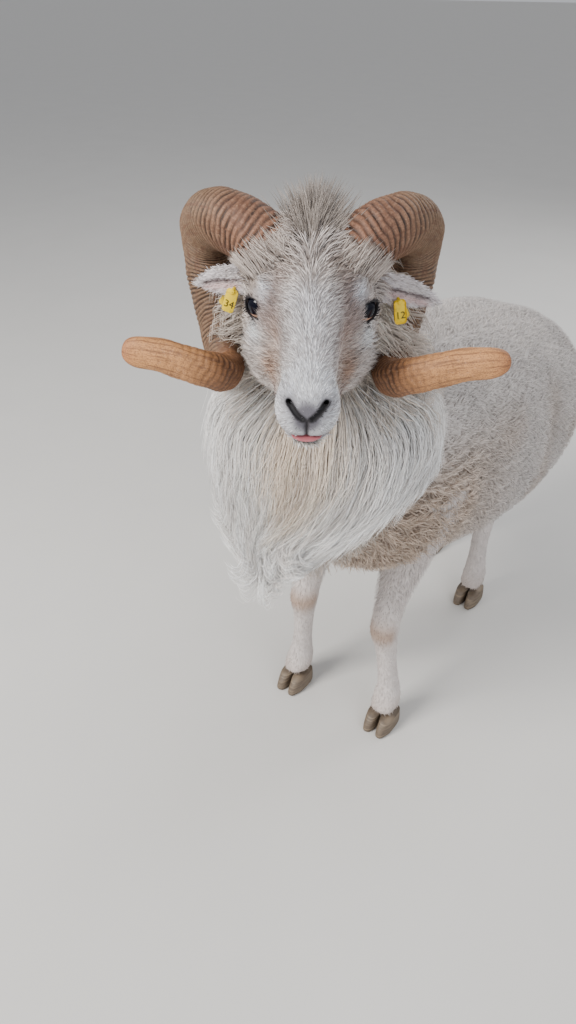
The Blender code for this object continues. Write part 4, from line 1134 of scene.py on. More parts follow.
def tufts(name, roots, length, lift, seed, width, fray, varied, points=3, shade=(0.74, 1.05), mottle=0.0):
    """Short hair: blades that leave the skin, bend over and lie along the flow."""
    draw = np.random.default_rng(seed)
    count = len(roots["at"])
    out = roots["out"]
    lie = flow(roots)
    lie = unit(lie + np.cross(out, lie) * draw.normal(0, fray, (count, 1)))
    length = length * draw.uniform(0.75, 1.2, count)
    lift = lift * draw.uniform(0.7, 1.25, count)
    t = np.linspace(0.0, 1.0, points)[None, :, None]
    paths = (
        roots["at"][:, None] - out[:, None] * 0.0006
        + lie[:, None] * length[:, None, None] * (t - 0.25 * t * (1 - t))
        + out[:, None] * lift[:, None, None] * np.sin(t * math.pi / 2)
    )
    widths = width * draw.uniform(0.8, 1.25, (count, 1)) * np.linspace(1.0, 0.35, points)
    colours = roots["colour"] * (1 + varied * draw.normal(size=(count, 1)))
    dark = draw.random((count, 1)) < mottle
    colours = colours * np.where(dark, DARK_BLADE, 1.12 if mottle else 1.0)
    return strands(name, paths, widths, out, colours, roots["unwrap"], shade)


def neck_point(height, turn, off):
    """Points off the neck's surface at heights and at angles from its front, and the level ways out."""
    rows = np.array(NECK_ROWS)
    held = np.clip(height, rows[0, 0], rows[-1, 0])
    x, y, half, front, back, lean = (np.interp(held, rows[:, 0], rows[:, k]) for k in range(1, 7))
    side, fore = np.sin(np.radians(turn)), np.cos(np.radians(turn))
    deep = np.where(fore > 0, front, back)
    reach = 1.0 / np.sqrt((side / half) ** 2 + (fore / deep) ** 2) + off
    c, s = np.cos(np.radians(lean)), np.sin(np.radians(lean))
    px, py = side * reach, -fore * reach
    out = np.stack([side * c + fore * s, side * s - fore * c, np.zeros_like(side)], -1)
    return np.stack([x + px * c - py * s, y + px * s + py * c, height], -1), out


def ruff_flow(turn, height):
    """The heading of the ruff's hair by angle and height. 0 is straight down, and more is to the left."""
    away = np.sign(turn) * ramp(np.abs(turn), 5.0, 45.0) * ramp(height, 0.455, 0.520)
    inward = 0.35 * ramp(-turn, 60.0, 110.0) - 0.95 * ramp(turn, 45.0, 90.0)
    swept = -ramp(turn, -50.0, 20.0) * (1 - ramp(height, 0.36, 0.445))
    return 1.05 * away + inward * (1 - ramp(height, 0.42, 0.48)) + 0.95 * swept


def lock_paths(draw, locks, each, points, spread=0.010, power=1.0):
    """Paths of the strands of many locks that lie round the neck and wave together. `locks` holds one value
    a lock: the height (root) and angle (turn) of its root, its length and lift, the share of the ruff's flow
    that it follows (held), its own heading (own), its wave, and how far its end curls (curl) and stands off
    (flick)."""
    count = len(locks["root"])
    shape = (count, each)
    lock = {key: value[:, None] for key, value in locks.items()}
    t = np.linspace(0.0, 1.0, points) ** power
    size = lock["length"] * draw.uniform(0.80, 1.08, shape)
    beat = 2 * math.pi * (lock["turn"] / 34.0 + lock["root"] / 0.060) + draw.normal(0, 0.40, (count, 1))
    own, stray = draw.normal(0, 0.035, shape), draw.normal(0, 0.06, shape)
    scatter = np.clip(draw.normal(0, spread, shape), -2 * spread, 2 * spread)
    levels, slides = [lock["root"] + 1.2 * spread * draw.uniform(-1.0, 1.0, shape)], [np.zeros(shape)]
    for now, then in zip(t, t[1:]):
        middle = (now + then) / 2
        turn = lock["turn"] + np.degrees((slides[-1] + scatter) / NECK_ROUND)
        wave = lock["wave"] * min(1.0, 2.5 * middle) * np.sin(2 * math.pi * size * middle / WAVE_PITCH + beat)
        heading = lock["held"] * ruff_flow(turn, levels[-1]) + lock["own"] + own + wave
        heading = heading + stray * np.sin(9 * middle + beat) + lock["curl"] * ramp(middle, 0.62, 1.0) ** 1.1
        levels.append(levels[-1] - 0.94 * np.cos(heading) * size * (then - now))
        slides.append(slides[-1] + np.sin(heading) * size * (then - now))
    height, slide = np.stack(levels, -1), np.stack(slides, -1) + scatter[..., None] * (1 - 0.55 * t**0.8)
    angle = lock["turn"][..., None] + np.degrees(slide / NECK_ROUND)
    stand = np.sin(np.radians(90) * np.minimum(1.0, 1.8 * t))
    depth = draw.uniform(-0.006, 0.0012, (*shape, 1)) * stand
    off = -0.006 + (lock["lift"][..., None] + 0.006) * stand + lock["flick"][..., None] * ramp(t, 0.55, 1.0)
    off = off + depth - 0.08 * np.abs(scatter[..., None])
    flat = (count * each, points)
    spots, outs = neck_point(height.reshape(flat), angle.reshape(flat), off.reshape(flat))
    return spots, outs[:, points // 2]


def ruff(surface, finish):
    """The long ruff. Its upper locks arch outwards, and the lower ones sweep to the right and curl."""
    draw = np.random.default_rng(5)
    count = int(RUFF_LOCKS * (0.5 + 0.5 * SHARE))
    root = 0.350 + 0.185 * draw.random(count) ** 0.85
    turn = draw.uniform(-1.0, 1.0, count)
    turn = turn * np.where(turn > 0, np.interp(root, *RUFF_ARC_LEFT), np.interp(root, *RUFF_ARC_RIGHT))
    highest = np.interp(np.abs(turn), (0, 40, 75, 120), (0.535, 0.520, 0.500, 0.492))
    root = np.minimum(root, highest - 0.03 * draw.random(count))
    length = np.interp(root, *RUFF_LENGTHS) * draw.uniform(0.88, 1.10, count)
    locks = {
        "root": root,
        "turn": turn,
        "length": length * (1 - 0.30 * ramp(turn, 55.0, 100.0)),
        "flick": draw.uniform(0.0, 0.010, count),
        "lift": RUFF_LIFT * (1.30 - 3.0 * (0.58 - root) + 0.16 * draw.random(count)),
        "held": draw.uniform(0.85, 1.10, count),
        "own": draw.normal(0, 0.07, count),
        "curl": draw.uniform(-0.5, 0.5, count) - 0.6 * ramp(0.44 - root, 0.0, 0.03),
        "wave": draw.uniform(0.06, 0.24, count),
    }
    paths, outs = lock_paths(draw, locks, LOCK_STRANDS, 9)
    colour = ruff_colours(draw, locks, LOCK_STRANDS)
    widths = draw.uniform(0.00020, 0.00040, (len(paths), 1)) * np.append(np.ones(5), (0.95, 0.85, 0.65, 0.35))
    for part, rows in zip(("first", "second", "third"), np.array_split(np.arange(len(paths)), 3)):
        lay_hair(surface, finish, "ruff_hair", "ruff_" + part, paths[rows], widths[rows], outs[rows],
                 colour[rows], shade=(0.90, 1.03), flat=0.7)


def ruff_colours(draw, locks, each):
    """White hair, cream below the chin, with some greyer locks."""
    count = len(locks["root"])
    cream = gauss(locks["turn"] + 4.0, 19.0) * ramp(locks["root"], 0.43, 0.50)
    white, tan, grey = screen(252, 249, 246), screen(230, 208, 182), screen(206, 198, 192)
    colour = mixed(mixed(white, tan, 0.80 * cream), grey, 0.60 * (draw.random(count) < 0.25))
    colour = colour * (1 + draw.normal(0, 0.05, (count, 1)))
    return np.repeat(colour, each, axis=0) * (1 + draw.normal(0, 0.09, (count * each, 1)))


def ruff_curls(surface, finish):
    """Loose locks along the ruff's lower edge that end in open curls."""
    draw = np.random.default_rng(15)
    count, each, points = 46, 20, 13
    turn = draw.uniform(-84.0, 30.0, count)
    locks = {
        "root": draw.uniform(0.375, 0.430, count) + 0.020 * ramp(-turn, 30.0, 80.0),
        "turn": turn,
        "length": draw.uniform(0.120, 0.158, count),
        "lift": draw.uniform(0.014, 0.026, count),
        "held": draw.uniform(0.8, 1.1, count),
        "own": draw.normal(0, 0.10, count),
        "curl": np.where(turn < -40.0, draw.uniform(-3.6, -2.0, count), draw.uniform(2.6, 4.6, count)),
        "flick": np.where(turn < -40.0, draw.uniform(0.008, 0.024, count), draw.uniform(0.006, 0.016, count)),
        "wave": draw.uniform(0.05, 0.20, count),
    }
    paths, outs = lock_paths(draw, locks, each, points, 0.0024, 0.78)
    widths = draw.uniform(0.00024, 0.00044, (len(paths), 1)) * np.append(np.ones(points - 3), (0.9, 0.7, 0.4))
    lay_hair(surface, finish, "ruff_hair", "ruff_curls", paths, widths, outs,
             ruff_colours(draw, locks, each), shade=(0.88, 1.05), flat=0.7)


def collar(surface, finish):
    """Short fluffy hair on the neck's back and sides, behind the jaws and inside the horns' circles. The rear
    plates of the tags stay clear of it."""
    draw = np.random.default_rng(6)
    count, each, points = int(690 * (0.5 + 0.5 * SHARE)), 11, 5
    root = draw.uniform(0.485, 0.610, count)
    turn = draw.uniform(-1.0, 1.0, count)
    turn = np.sign(turn) * (32.0 + 148.0 * np.abs(turn) ** 0.85)
    locks = {
        "root": root,
        "turn": turn,
        "length": draw.uniform(0.018, 0.032, count),
        "lift": draw.uniform(0.004, 0.036, count) * np.interp(np.abs(turn), (32, 60, 180), (0.60, 1.0, 0.9)),
        "held": np.zeros(count),
        "own": np.sign(turn) * draw.uniform(-0.3, 1.4, count),
        "curl": draw.uniform(-1.2, 1.2, count),
        "flick": np.zeros(count),
        "wave": draw.uniform(0.1, 0.5, count),
    }
    paths, outs = lock_paths(draw, locks, each, points, 0.006)
    pale = ramp(-np.abs(turn), -130.0, -75.0) * np.clip(1.4 - locks["lift"] / 0.034, 0.4, 1.0)
    shade = mixed(screen(172, 155, 142), screen(236, 226, 215), pale) * (1 + draw.normal(0, 0.12, (count, 1)))
    colour = np.repeat(shade, each, axis=0) * (1 + draw.normal(0, 0.16, (len(paths), 1)))
    widths = draw.uniform(0.00030, 0.00050, (len(paths), 1)) * np.array((1, 1, 0.9, 0.7, 0.3))
    clear = np.ones(len(paths), bool)
    for label, side in SIDES.items():
        plate = np.array(ear_frame(side) @ Vector((side * (TAG_OUT[label] + 0.004), -0.002, -0.016)))
        clear &= np.linalg.norm(paths - plate, axis=2).min(axis=1) > 0.016
    lay_hair(surface, finish, "ruff_hair", "collar_hair", paths[clear], widths[clear], outs[clear],
             colour[clear], shade=(0.84, 1.05))


def forelocks(surface, finish):
    """Hair of the brow and the temples that lies over the horns' bases."""
    draw = np.random.default_rng(9)
    for label, side in SIDES.items():
        _, path, half_wide, half_thick, wides, thicks = horn_core(label, 2000)
        count, points = int(1080 * SHARE), 6
        turn = draw.uniform(0.0, 360.0, count)
        clump = np.sin(turn / 5.0 + 2.0 * np.sin(turn / 17.0))
        start = np.interp(turn, HAIRLINE[0], HAIRLINE[1]) - draw.uniform(0.0, 0.030, count)
        end = np.interp(turn, HAIRLINE[0], HAIRLINE[2]) + 0.005 * clump + draw.normal(0, 0.006, count)
        t = np.linspace(0.0, 1.0, points)[None, :]
        rows = np.clip((start[:, None] + (end - start)[:, None] * t) * 1999, 0, 1999).astype(int)
        angle = np.radians(turn[:, None] + (draw.normal(0, 9, (count, 1)) + 8 * clump[:, None]) * t)
        off = draw.uniform(0.0016, 0.0052, (count, 1)) * (1 - 0.35 * t) + 0.0008
        ways = np.cos(angle)[..., None] * wides[rows] * (half_wide[rows] + off[..., None])
        ways = ways + np.sin(angle)[..., None] * thicks[rows] * (half_thick[rows] + off[..., None])
        level_head = head_frame(pitch=0.0)
        paths = placed((path[rows] + ways).reshape(-1, 3) * (side, 1, 1), level_head)
        outs = unit((ways[:, 2] * (side, 1, 1)) @ np.array(level_head.to_3x3()).T)
        colour = screen(196, 184, 175) * (1 + draw.normal(0, 0.10, (count, 1)))
        colour = colour * np.where(draw.random((count, 1)) < 0.32, DARK_BLADE, 1.08)
        widths = draw.uniform(0.00040, 0.00070, (count, 1)) * np.linspace(1.0, 0.35, points)
        lay_hair(surface, finish, "face_hair", "forelocks_" + label, paths.reshape(count, points, 3),
                 widths, outs, colour)


def crest(surface, finish):
    """The upright hair between the horns."""
    draw = np.random.default_rng(3)
    count, points = 900, 7
    u, v = draw.normal(0, 0.55, count), draw.uniform(0, 1, count)
    root = np.stack([0.013 * u, 0.004 + 0.036 * v, 0.040 + 0.004 * draw.random(count)], -1)
    height = (0.033 + 0.018 * draw.random(count)) * (1 - 0.16 * np.abs(u))
    height = height * (0.72 + 0.28 * ramp(v, 0.0, 0.35))
    clump = np.round(u * 3) / 3 + 0.4 * np.sin(9 * v)
    lean = np.zeros((count, 3))
    lean[:, 0] = 0.015 * clump + draw.normal(0, 0.003, count)
    lean[:, 1] = 0.004 + 0.012 * v + draw.normal(0, 0.003, count)
    t = np.linspace(0.0, 1.0, points)[None, :, None]
    paths = root[:, None] + lean[:, None] * t**1.8 + np.array((0, 0, 1.0)) * height[:, None, None] * t
    paths[..., 0] += 0.0012 * np.sin(5 * t[..., 0] + 3 * clump[:, None]) * t[..., 0]
    paths = placed(paths, head_frame(pitch=0.0))
    outs = np.tile(np.array(head_frame(pitch=0.0).to_3x3()) @ (0, -1, 0), (count, 1))
    colour = screen(150, 140, 132) * (1 + draw.normal(0, 0.24, (count, 1)))
    widths = draw.uniform(0.00035, 0.0007, (count, 1)) * np.linspace(1.0, 0.3, points)
    lay_hair(surface, finish, "face_hair", "poll_crest", paths, widths, outs, colour)


def lashes(surface, finish):
    """Pale and dark lashes on the upper lids."""
    draw = np.random.default_rng(8)
    count, points = 34, 5
    t = np.linspace(0.0, 1.0, points)[None, :, None]
    for label, side in SIDES.items():
        edge = lid_edge(side, 0.0012, 0.0010)[UPPER_LID]
        place = np.sort(draw.uniform(0, len(edge) - 1.01, count))
        first = place.astype(int)
        root = edge[first] + (edge[first + 1] - edge[first]) * (place - first)[:, None]
        out = unit(root - np.array(gaze_frame(side).translation))
        up = np.array(gaze_frame(side).to_3x3()) @ (0, 0, 1.0)
        way = unit(out + 0.25 * up + draw.normal(0, 0.12, (count, 3)))
        length = draw.uniform(0.0032, 0.0056, (count, 1, 1))
        bend = (0.4 * up - 0.5 * out)[:, None] * length * t**2 * 0.6
        colour = np.where(draw.random((count, 1)) < 0.55, screen(214, 206, 200), screen(70, 60, 58))
        widths = np.full((count, 1), 0.00022) * np.linspace(1.0, 0.4, points)
        paths = root[:, None] + way[:, None] * length * t + bend
        lay_hair(surface, finish, "face_hair", "lashes_" + label, paths, widths, np.tile(up, (count, 1)),
                 colour, shade=(0.9, 1.0))


def short_coat(surface, finish):
    """Tufts of each part of the body. Each piece has its own spacing, and the nose's pad has fewer."""
    region, level = surface.regions, surface.middles[:, 2]
    local, x, y, z = in_head(surface.middles)
    bare = near_spot(np.stack([x, y, z], -1), (0.0, -0.112, -0.012), (0.009, 0.008, 0.007)) > 0.35
    hidden = (to_eye(x, y, z) < EYE_RADIUS + 0.0006) | inside_mouth(local)
    trunk, face = region == TRUNK, (region == HEAD) & ~hidden
    pieces = (
        ("fleece_back", trunk & (level > 0.375), 0.0036, "fleece"),
        ("fleece_side", trunk & (np.abs(level - 0.325) <= 0.050), 0.0036, "fleece"),
        ("fleece_low", trunk & (level < 0.275), 0.0036, "fleece"),
        ("face_front", face & (y < -0.015), 0.00150, "face_hair"),
        ("face_back", face & (y >= -0.015), 0.00195, "face_hair"),
        ("ear_hair", (region == EAR_LEFT) | (region == EAR_RIGHT), 0.0014, "face_hair"),
        ("neck_hair", region == NECK, 0.0050, "ruff_hair"),
        ("leg_hair", region == LEGS, 0.0033, "leg_hair"),
        ("tail_hair", (region == TAIL) | (region == SCROTUM), 0.0033, "fleece"),
    )
    for seed, (name, where, spacing, slot) in enumerate(pieces):
        roots = surface.roots(spacing, where * (1 - 0.20 * bare), seed + 40)
        roots["colour"] = markings(roots["at"], roots["region"])
        look = HAIR_LOOKS.get(name, HAIR_LOOKS["fleece"])
        settle(tufts(name, roots, *hair_reach(name, roots["at"]), seed + 60, **look), finish, slot)


def inside_mouth(local):
    """True for spots of the head's frame between the lips."""
    x, y, z = local.T
    gap = np.abs(z - mouth_line(x, y))
    return (gap < mouth_line(x, y, 2) + 0.0001) & (y < -0.064) & (y > -0.1085)


def hair_reach(name, at):
    """Length and lift of a piece's tufts at their roots."""
    if name in EVEN_HAIR:
        return EVEN_HAIR[name]
    if name.startswith("fleece"):
        wavy = ramp(-at[:, 2], -0.41, -0.35) * ramp(-at[:, 1], -0.20, -0.06)
        edge = ramp(-at[:, 2], -0.215, -0.185)
        longer = 1 + 0.60 * np.maximum(wavy, edge) - 0.75 * sleeves(at)
        return 0.0085 * longer, 0.0050 * longer
    if name == "leg_hair":
        upper = ramp(at[:, 2], 0.17, 0.22)
        return 0.0065 + 0.004 * upper, 0.0015 + 0.003 * upper
    _, x, y, z = in_head(at)
    near_eye = gauss(to_eye(x, y, z) - 0.014, 0.006)
    if name == "face_front":
        near_pad = gauss(np.hypot(x, z + 0.0135), 0.011) * (y < -0.098)
        near_nose = np.maximum(gauss(to_nostril(x, y, z), 0.0045), near_pad)
        chin = ramp(-y, 0.075, 0.095) * ramp(-z, 0.035, 0.039)
        jaw = ramp(y, -0.075, -0.030) * ramp(-z, 0.006, 0.026)
        lip = gauss(z + 0.0275 - MOUTH_CURVE * x * x, 0.0040) * ramp(-y, 0.070, 0.090)
        length = 0.0060 + 0.0044 * ramp(y, -0.090, -0.045)
        length = length * (1 - 0.50 * near_eye) * (1 - 0.62 * near_nose) * (1 - 0.60 * lip)
        length = length + 0.0075 * chin + 0.0100 * jaw
        return length, (0.20 + 0.20 * jaw) * length
    crown = ramp(z, 0.026, 0.042) * ramp(y, -0.012, 0.020)
    jaw = ramp(y, -0.015, 0.040) * ramp(-z, -0.010, 0.020)
    temple = ramp(x, 0.034, 0.046) * ramp(y, 0.008, 0.026) * ramp(z, -0.012, 0.008)
    length = (0.0090 + 0.0100 * crown + 0.0150 * jaw + 0.0170 * temple) * (1 - 0.62 * near_eye)
    return length, 0.30 * length * (1 + 0.4 * crown + 0.5 * jaw + 1.0 * temple)


# Finishes


class Wire:
    """A shader socket that takes part in sums."""

    def __init__(self, tree, socket):
        self.tree = tree
        self.socket = socket

    def work(self, operation, first, second):
        made = self.tree.nodes.new("ShaderNodeMath")
        made.operation = operation
        for slot, value in zip(made.inputs, (first, second)):
            if isinstance(value, Wire):
                self.tree.links.new(value.socket, slot)
            else:
                slot.default_value = value
        return Wire(self.tree, made.outputs[0])

    def __add__(self, other):
        return self.work("ADD", self, other)

    def __radd__(self, other):
        return self.work("ADD", other, self)

    def __sub__(self, other):
        return self.work("SUBTRACT", self, other)

    def __rsub__(self, other):
        return self.work("SUBTRACT", other, self)

    def __mul__(self, other):
        return self.work("MULTIPLY", self, other)

    def __rmul__(self, other):
        return self.work("MULTIPLY", other, self)

    def __truediv__(self, other):
        return self.work("DIVIDE", self, other)

    def __pow__(self, other):
        return self.work("POWER", self, other)


class Finish:
    """A material whose nodes all come from one method. The fixed values go to the shader's own sockets."""

    def __init__(self, name, **fixed):
        self.material = bpy.data.materials.new(name)
        self.material.use_nodes = True
        self.tree = self.material.node_tree
        self.shader = self.tree.nodes["Principled BSDF"]
        for key, value in fixed.items():
            self.shader.inputs[key.replace("_", " ").title().replace("Ior", "IOR")].default_value = value
        self.place = self.node("TexCoord", out=3)

    def node(self, kind, settings=None, values=None, out=0):
        """A node of a type, with its settings and then the values or links of its sockets. A ramp's stops are
        pairs of a place and a colour."""
        made = self.tree.nodes.new("ShaderNode" + kind)
        for key, value in (settings or {}).items():
            if key == "stops":
                for stop, (place, colour) in zip(made.color_ramp.elements, value):
                    stop.position, stop.color = place, (*colour, 1.0)
            else:
                setattr(made, key, value)
        for key, value in (values or {}).items():
            if isinstance(value, Wire):
                self.tree.links.new(value.socket, made.inputs[key])
            else:
                made.inputs[key].default_value = value
        return Wire(self.tree, made.outputs[out])

    def noise(self, vector, scale, detail=3.0, roughness=0.55):
        """Noise of a scale, or stretched by three scales."""
        if isinstance(scale, tuple):
            vector, scale = self.node("Mapping", {}, {"Vector": vector, "Scale": scale}), 1.0
        values = {"Vector": vector, "Scale": scale, "Detail": detail, "Roughness": roughness}
        return self.node("TexNoise", {}, values)

    def mix(self, share, first, second, kind="MIX"):
        """Two colours mixed. A colour is a wire or three numbers."""
        first, second = (c if isinstance(c, Wire) else (*c, 1.0) for c in (first, second))
        return self.node("Mix", {"data_type": "RGBA", "blend_type": kind}, {0: share, 6: first, 7: second}, 2)

    def coat_colour(self):
        """The colour stored on the mesh."""
        return self.node("Attribute", {"attribute_name": "coat"})

    def level(self, value, low, high):
        """0 at or below `low` and 1 at or above `high`."""
        return self.node("MapRange", {"interpolation_type": "SMOOTHSTEP"},
                         {"Value": value, "From Min": low, "From Max": high})

    def done(self, colour, roughness=None, bump=None):
        """The finished material. `bump` is a height, its strength and its distance."""
        feeds = {"Base Color": colour}
        if roughness:
            feeds["Roughness"] = roughness
        if bump:
            feeds["Normal"] = self.node("Bump", {}, dict(zip(("Height", "Strength", "Distance"), bump)))
        for key, wire in feeds.items():
            self.tree.links.new(wire.socket, self.shader.inputs[key])
        return self.material


def hair_finish():
    """The hair's own colours with fine specks."""
    made = Finish("coat_hair", roughness=0.58)
    stops = ((0.3, (0.45, 0.45, 0.45)), (0.7, (1.0, 1.0, 1.0)))
    speck = made.node("ValToRGB", {"stops": stops}, {"Fac": made.noise(made.place, 900.0, 2.0)})
    return made.done(made.mix(0.22, made.coat_colour(), speck, "MULTIPLY"))


def skin_finish():
    """The skin's own colours, worn and uneven."""
    made = Finish("ram_skin")
    fine = made.noise(made.place, 700.0, 4.0, 0.7)
    broad = made.noise(made.place, 60.0)
    stops = ((0.25, (0.62, 0.60, 0.58)), (0.7, (1.0, 1.0, 1.0)))
    worn = made.node("ValToRGB", {"stops": stops}, {"Fac": 0.6 * fine + 0.4 * broad})
    colour = made.mix(0.75, made.coat_colour(), worn, "MULTIPLY")
    return made.done(colour, 0.62 + 0.3 * broad, (fine + 0.5 * broad, 0.55, 0.0008))


def horn_finish():
    """The sheath's own colours with dark grain along it, specks, and pale scuffed ridges."""
    made = Finish("horn_sheath", coat_roughness=0.5)
    along = made.node("UVMap", {"uv_map": "sheath"})
    grain = made.noise(along, (9.0, 70.0, 1.0), 5.0, 0.65)
    fine = made.noise(along, (60.0, 260.0, 1.0), 3.0, 0.6)
    scuff = made.noise(made.place, 420.0, 4.0, 0.75)
    speck = made.noise(made.place, 900.0, 3.0, 0.7)
    colour = made.mix(0.62 * made.level(grain, 0.52, 0.38), made.coat_colour(), screen(88, 54, 36))
    colour = made.mix(0.50 * made.level(speck, 0.52, 0.38), colour, screen(74, 46, 36))
    colour = made.mix(0.34 * made.level(scuff, 0.54, 0.70), colour, screen(188, 152, 124))
    colour = made.mix(0.30 * made.level(fine, 0.50, 0.34), colour, screen(88, 58, 42))
    return made.done(colour, 0.48 + 0.35 * scuff, (0.5 * grain + 0.4 * fine + 0.6 * scuff, 0.70, 0.0008))


def eye_finish(label):
    """A dark iris with a level pupil, a pale amber crescent of painted light low on the iris, and a moist
    gleam.
    """
    made = Finish("eye_" + label, roughness=0.05, ior=1.33)
    place = gaze_frame(SIDES[label])
    place.translation += Vector(SHIFT)
    back = place.inverted()
    local = made.node("Mapping", {"vector_type": "POINT"}, {
        "Vector": made.place, "Location": back.translation, "Rotation": back.to_euler(),
    })
    across, rise = made.node("SeparateXYZ", {}, {0: local}, 0), made.node("SeparateXYZ", {}, {0: local}, 2)
    reach = (across * across + rise * rise) ** 0.5
    nose = across * -SIDES[label]
    pupil = (((nose + 0.0016) / 0.0074) ** 2.0 + ((rise - 0.0010) / 0.0060) ** 2.0) ** 0.5
    iris = made.mix(made.noise(local, 900.0, 4.0, 0.7), screen(44, 46, 46), screen(86, 84, 74))
    # Painted light: the iris is painted pale low down, where light through the cornea falls on it.
    rim = made.mix(made.level(rise, -0.0034, -0.0050), iris, screen(214, 170, 146))
    edge = made.mix(made.level(reach, 0.0086, 0.0098), rim, screen(150, 126, 118))
    return made.done(made.mix(made.level(pupil, 1.12, 0.92), edge, screen(7, 8, 20)))


def hoof_finish():
    """Grey-brown claws with level rings and dirt."""
    made = Finish("claw_horn", coat_roughness=0.4)
    rings = made.noise(made.place, (20.0, 20.0, 620.0), 2.0)
    dirt = made.noise(made.place, 120.0, 5.0, 0.65)
    shade = made.mix(dirt, screen(62, 52, 44), screen(124, 108, 90))
    colour = made.mix(0.5 * made.level(rings, 0.5, 0.62), shade, screen(150, 132, 110))
    return made.done(colour, 0.38 + 0.35 * dirt, (0.5 * rings + 0.5 * dirt, 0.4, 0.0006))


def tongue_finish():
    """Moist and pink, with fine buds."""
    made = Finish("moist_tongue", coat_weight=0.6, coat_roughness=0.15)
    buds = made.noise(made.place, 1400.0, 2.0)
    colour = made.mix(made.noise(made.place, 160.0), screen(178, 104, 108), screen(146, 74, 82))
    return made.done(colour, 0.28 + 0.25 * buds, (buds, 0.4, 0.0003))


def tag_finish():
    """Yellow plastic with grime and level scratches."""
    made = Finish("tag_plastic", coat_roughness=0.3)
    grime = made.noise(made.place, 260.0, 5.0, 0.65)
    scratch = made.noise(made.place, (300.0, 300.0, 2400.0), 2.0)
    colour = made.mix(0.55 * made.level(grime, 0.52, 0.70), screen(238, 205, 26), screen(168, 134, 38))
    return made.done(colour, 0.34 + 0.25 * scratch, (0.4 * scratch + 0.6 * grime, 0.2, 0.0002))


def ink_finish():
    """Black print, worn in places."""
    made = Finish("tag_ink")
    worn = made.noise(made.place, 700.0)
    return made.done(made.mix(made.level(worn, 0.45, 0.75), screen(24, 22, 20), screen(66, 56, 34)),
                     0.45 + 0.2 * worn)


def floor_finish():
    """Pale and nearly plain."""
    made = Finish("pale_floor")
    shade = made.noise(made.place, 6.0, 4.0)
    return made.done(made.mix(shade, screen(204, 202, 198), screen(211, 209, 205)), 0.75 + 0.1 * shade)


# Horns, eyes, claws, tags


def horn_core(label, count):
    """All along a horn: the share of its length, its middle line, its wider and thinner half sizes, and the
    wider and thinner ways across it."""
    rows = through(HORN_ROWS, count)
    share = np.linspace(0.0, 1.0, count)
    circle, tip = HORN_SPREAD[label]
    rows[:, 0] *= np.interp(share, (0.0, 0.6, 1.0), (circle, circle, tip))
    along = unit(np.gradient(rows[:, :3], axis=0))
    first = np.array((0.0, -0.6, 0.8))
    wides = [unit(first - along[0] * np.dot(first, along[0]))]
    for way in along[1:]:
        wides.append(unit(wides[-1] - way * np.dot(wides[-1], way)))
    return share, rows[:, :3], rows[:, 3:4], rows[:, 4:5], np.array(wides), np.cross(along, wides)


def horn(label, finish):
    """A spiral sheath with growth rings that fade towards a flattened amber tip."""
    count, around = ((900, 40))
    share, path, half_wide, half_thick, wides, thicks = horn_core(label, count)
    angles = np.linspace(0.0, 2 * math.pi, around, endpoint=False)
    c, s = np.cos(angles)[None], np.sin(angles)[None]
    u, v = np.sign(c) * np.abs(c) ** 0.9, np.sign(s) * np.abs(s) ** 0.9

    def sheath(swell, end):
        across = (u * (half_wide + swell) * end)[..., None] * wides[:, None]
        return path[:, None] + across + (v * (half_thick + swell) * end)[..., None] * thicks[:, None]

    # The rings keep their pitch on the outer side of the curve, the longest way along the sheath
    steps = np.linalg.norm(np.diff(sheath(0.0, 1.0), axis=0), axis=2).max(axis=1)
    travel = np.concatenate([[0.0], np.cumsum(steps)])[:, None]
    at = share[:, None]
    sway = 0.0015 * np.sin(2 * angles + 9 * at) + 0.0009 * np.sin(5 * angles + 60 * at)
    sway = sway + 0.0004 * np.sin(11 * angles + 150 * at)
    phase = (travel + sway) / RING_PITCH + 0.35 * np.sin(travel / 0.021)
    strength = 0.78 + 0.22 * np.sin(1.7 * phase + 3 * angles + np.sin(phase * 0.31))
    furrow = np.abs(np.cos(math.pi * phase)) ** 3.5 * strength
    lines = 0.5 + 0.5 * np.sin(2 * math.pi * (travel + 1.7 * sway) / LINE_PITCH)
    ringed = 1 - ramp(at, 0.70, 0.86)
    faint = 0.22 * (1 - ramp(at, 0.86, 0.95))
    swell = (0.0014 * ringed + 0.0013 * faint) * (0.42 - furrow) + 0.00034 * ringed * lines
    swell = swell + 0.0005 * np.sin(3 * angles + 20 * at) * np.sin(70 * at)
    end = np.sqrt(1.0 - np.maximum(0.0, (at - 0.95) / 0.0505) ** 2)
    points = sheath(swell, end) * (SIDES[label], 1, 1)
    points = placed(points.reshape(-1, 3), head_frame(pitch=0.0)).reshape(points.shape)
    made = loft("horn_sheath_" + label, points)
    colours = horn_colours(np.clip(furrow * (ringed + 1.6 * faint), 0, 1), at, angles)
    caps = colours[[0, -1]].mean(axis=1)
    tint(made, np.concatenate([colours.reshape(-1, 3), caps]))
    sheath_map(made, count, around, travel[-1, 0])
    settle(made, finish, "horn", "horn_" + label)


def horn_colours(furrows, share, angles):
    """Colours of a horn's sheath by place along it and round it."""
    colour = mixed(screen(130, 91, 69), screen(116, 91, 68), ramp(share, 0.06, 0.24))
    colour = mixed(colour, screen(130, 88, 56), ramp(share, 0.60, 0.72))
    colour = mixed(colour, screen(190, 134, 82), ramp(share, 0.76, 0.88))
    colour = mixed(colour, screen(166, 108, 66), ramp(share, 0.95, 1.0))
    streak = gauss(np.cos(angles - 1.2) - 1.0, 0.35) * gauss(share - 0.745, 0.045)
    shade = 1 + 0.06 * np.sin(angles + 1.0) + 0.05 * np.sin(40 * share + 2 * np.sin(9 * share))
    # The furrows between the rings are darkened, partly their own dark lines and partly painted shade, and
    # the crests between them are lightened by a painted highlight.
    shade = shade * (1.10 - furrows * (0.96 - 0.36 * ramp(share, 0.74, 0.84)))
    return mixed(colour, screen(70, 40, 30), 0.85 * streak) * shade[..., None]


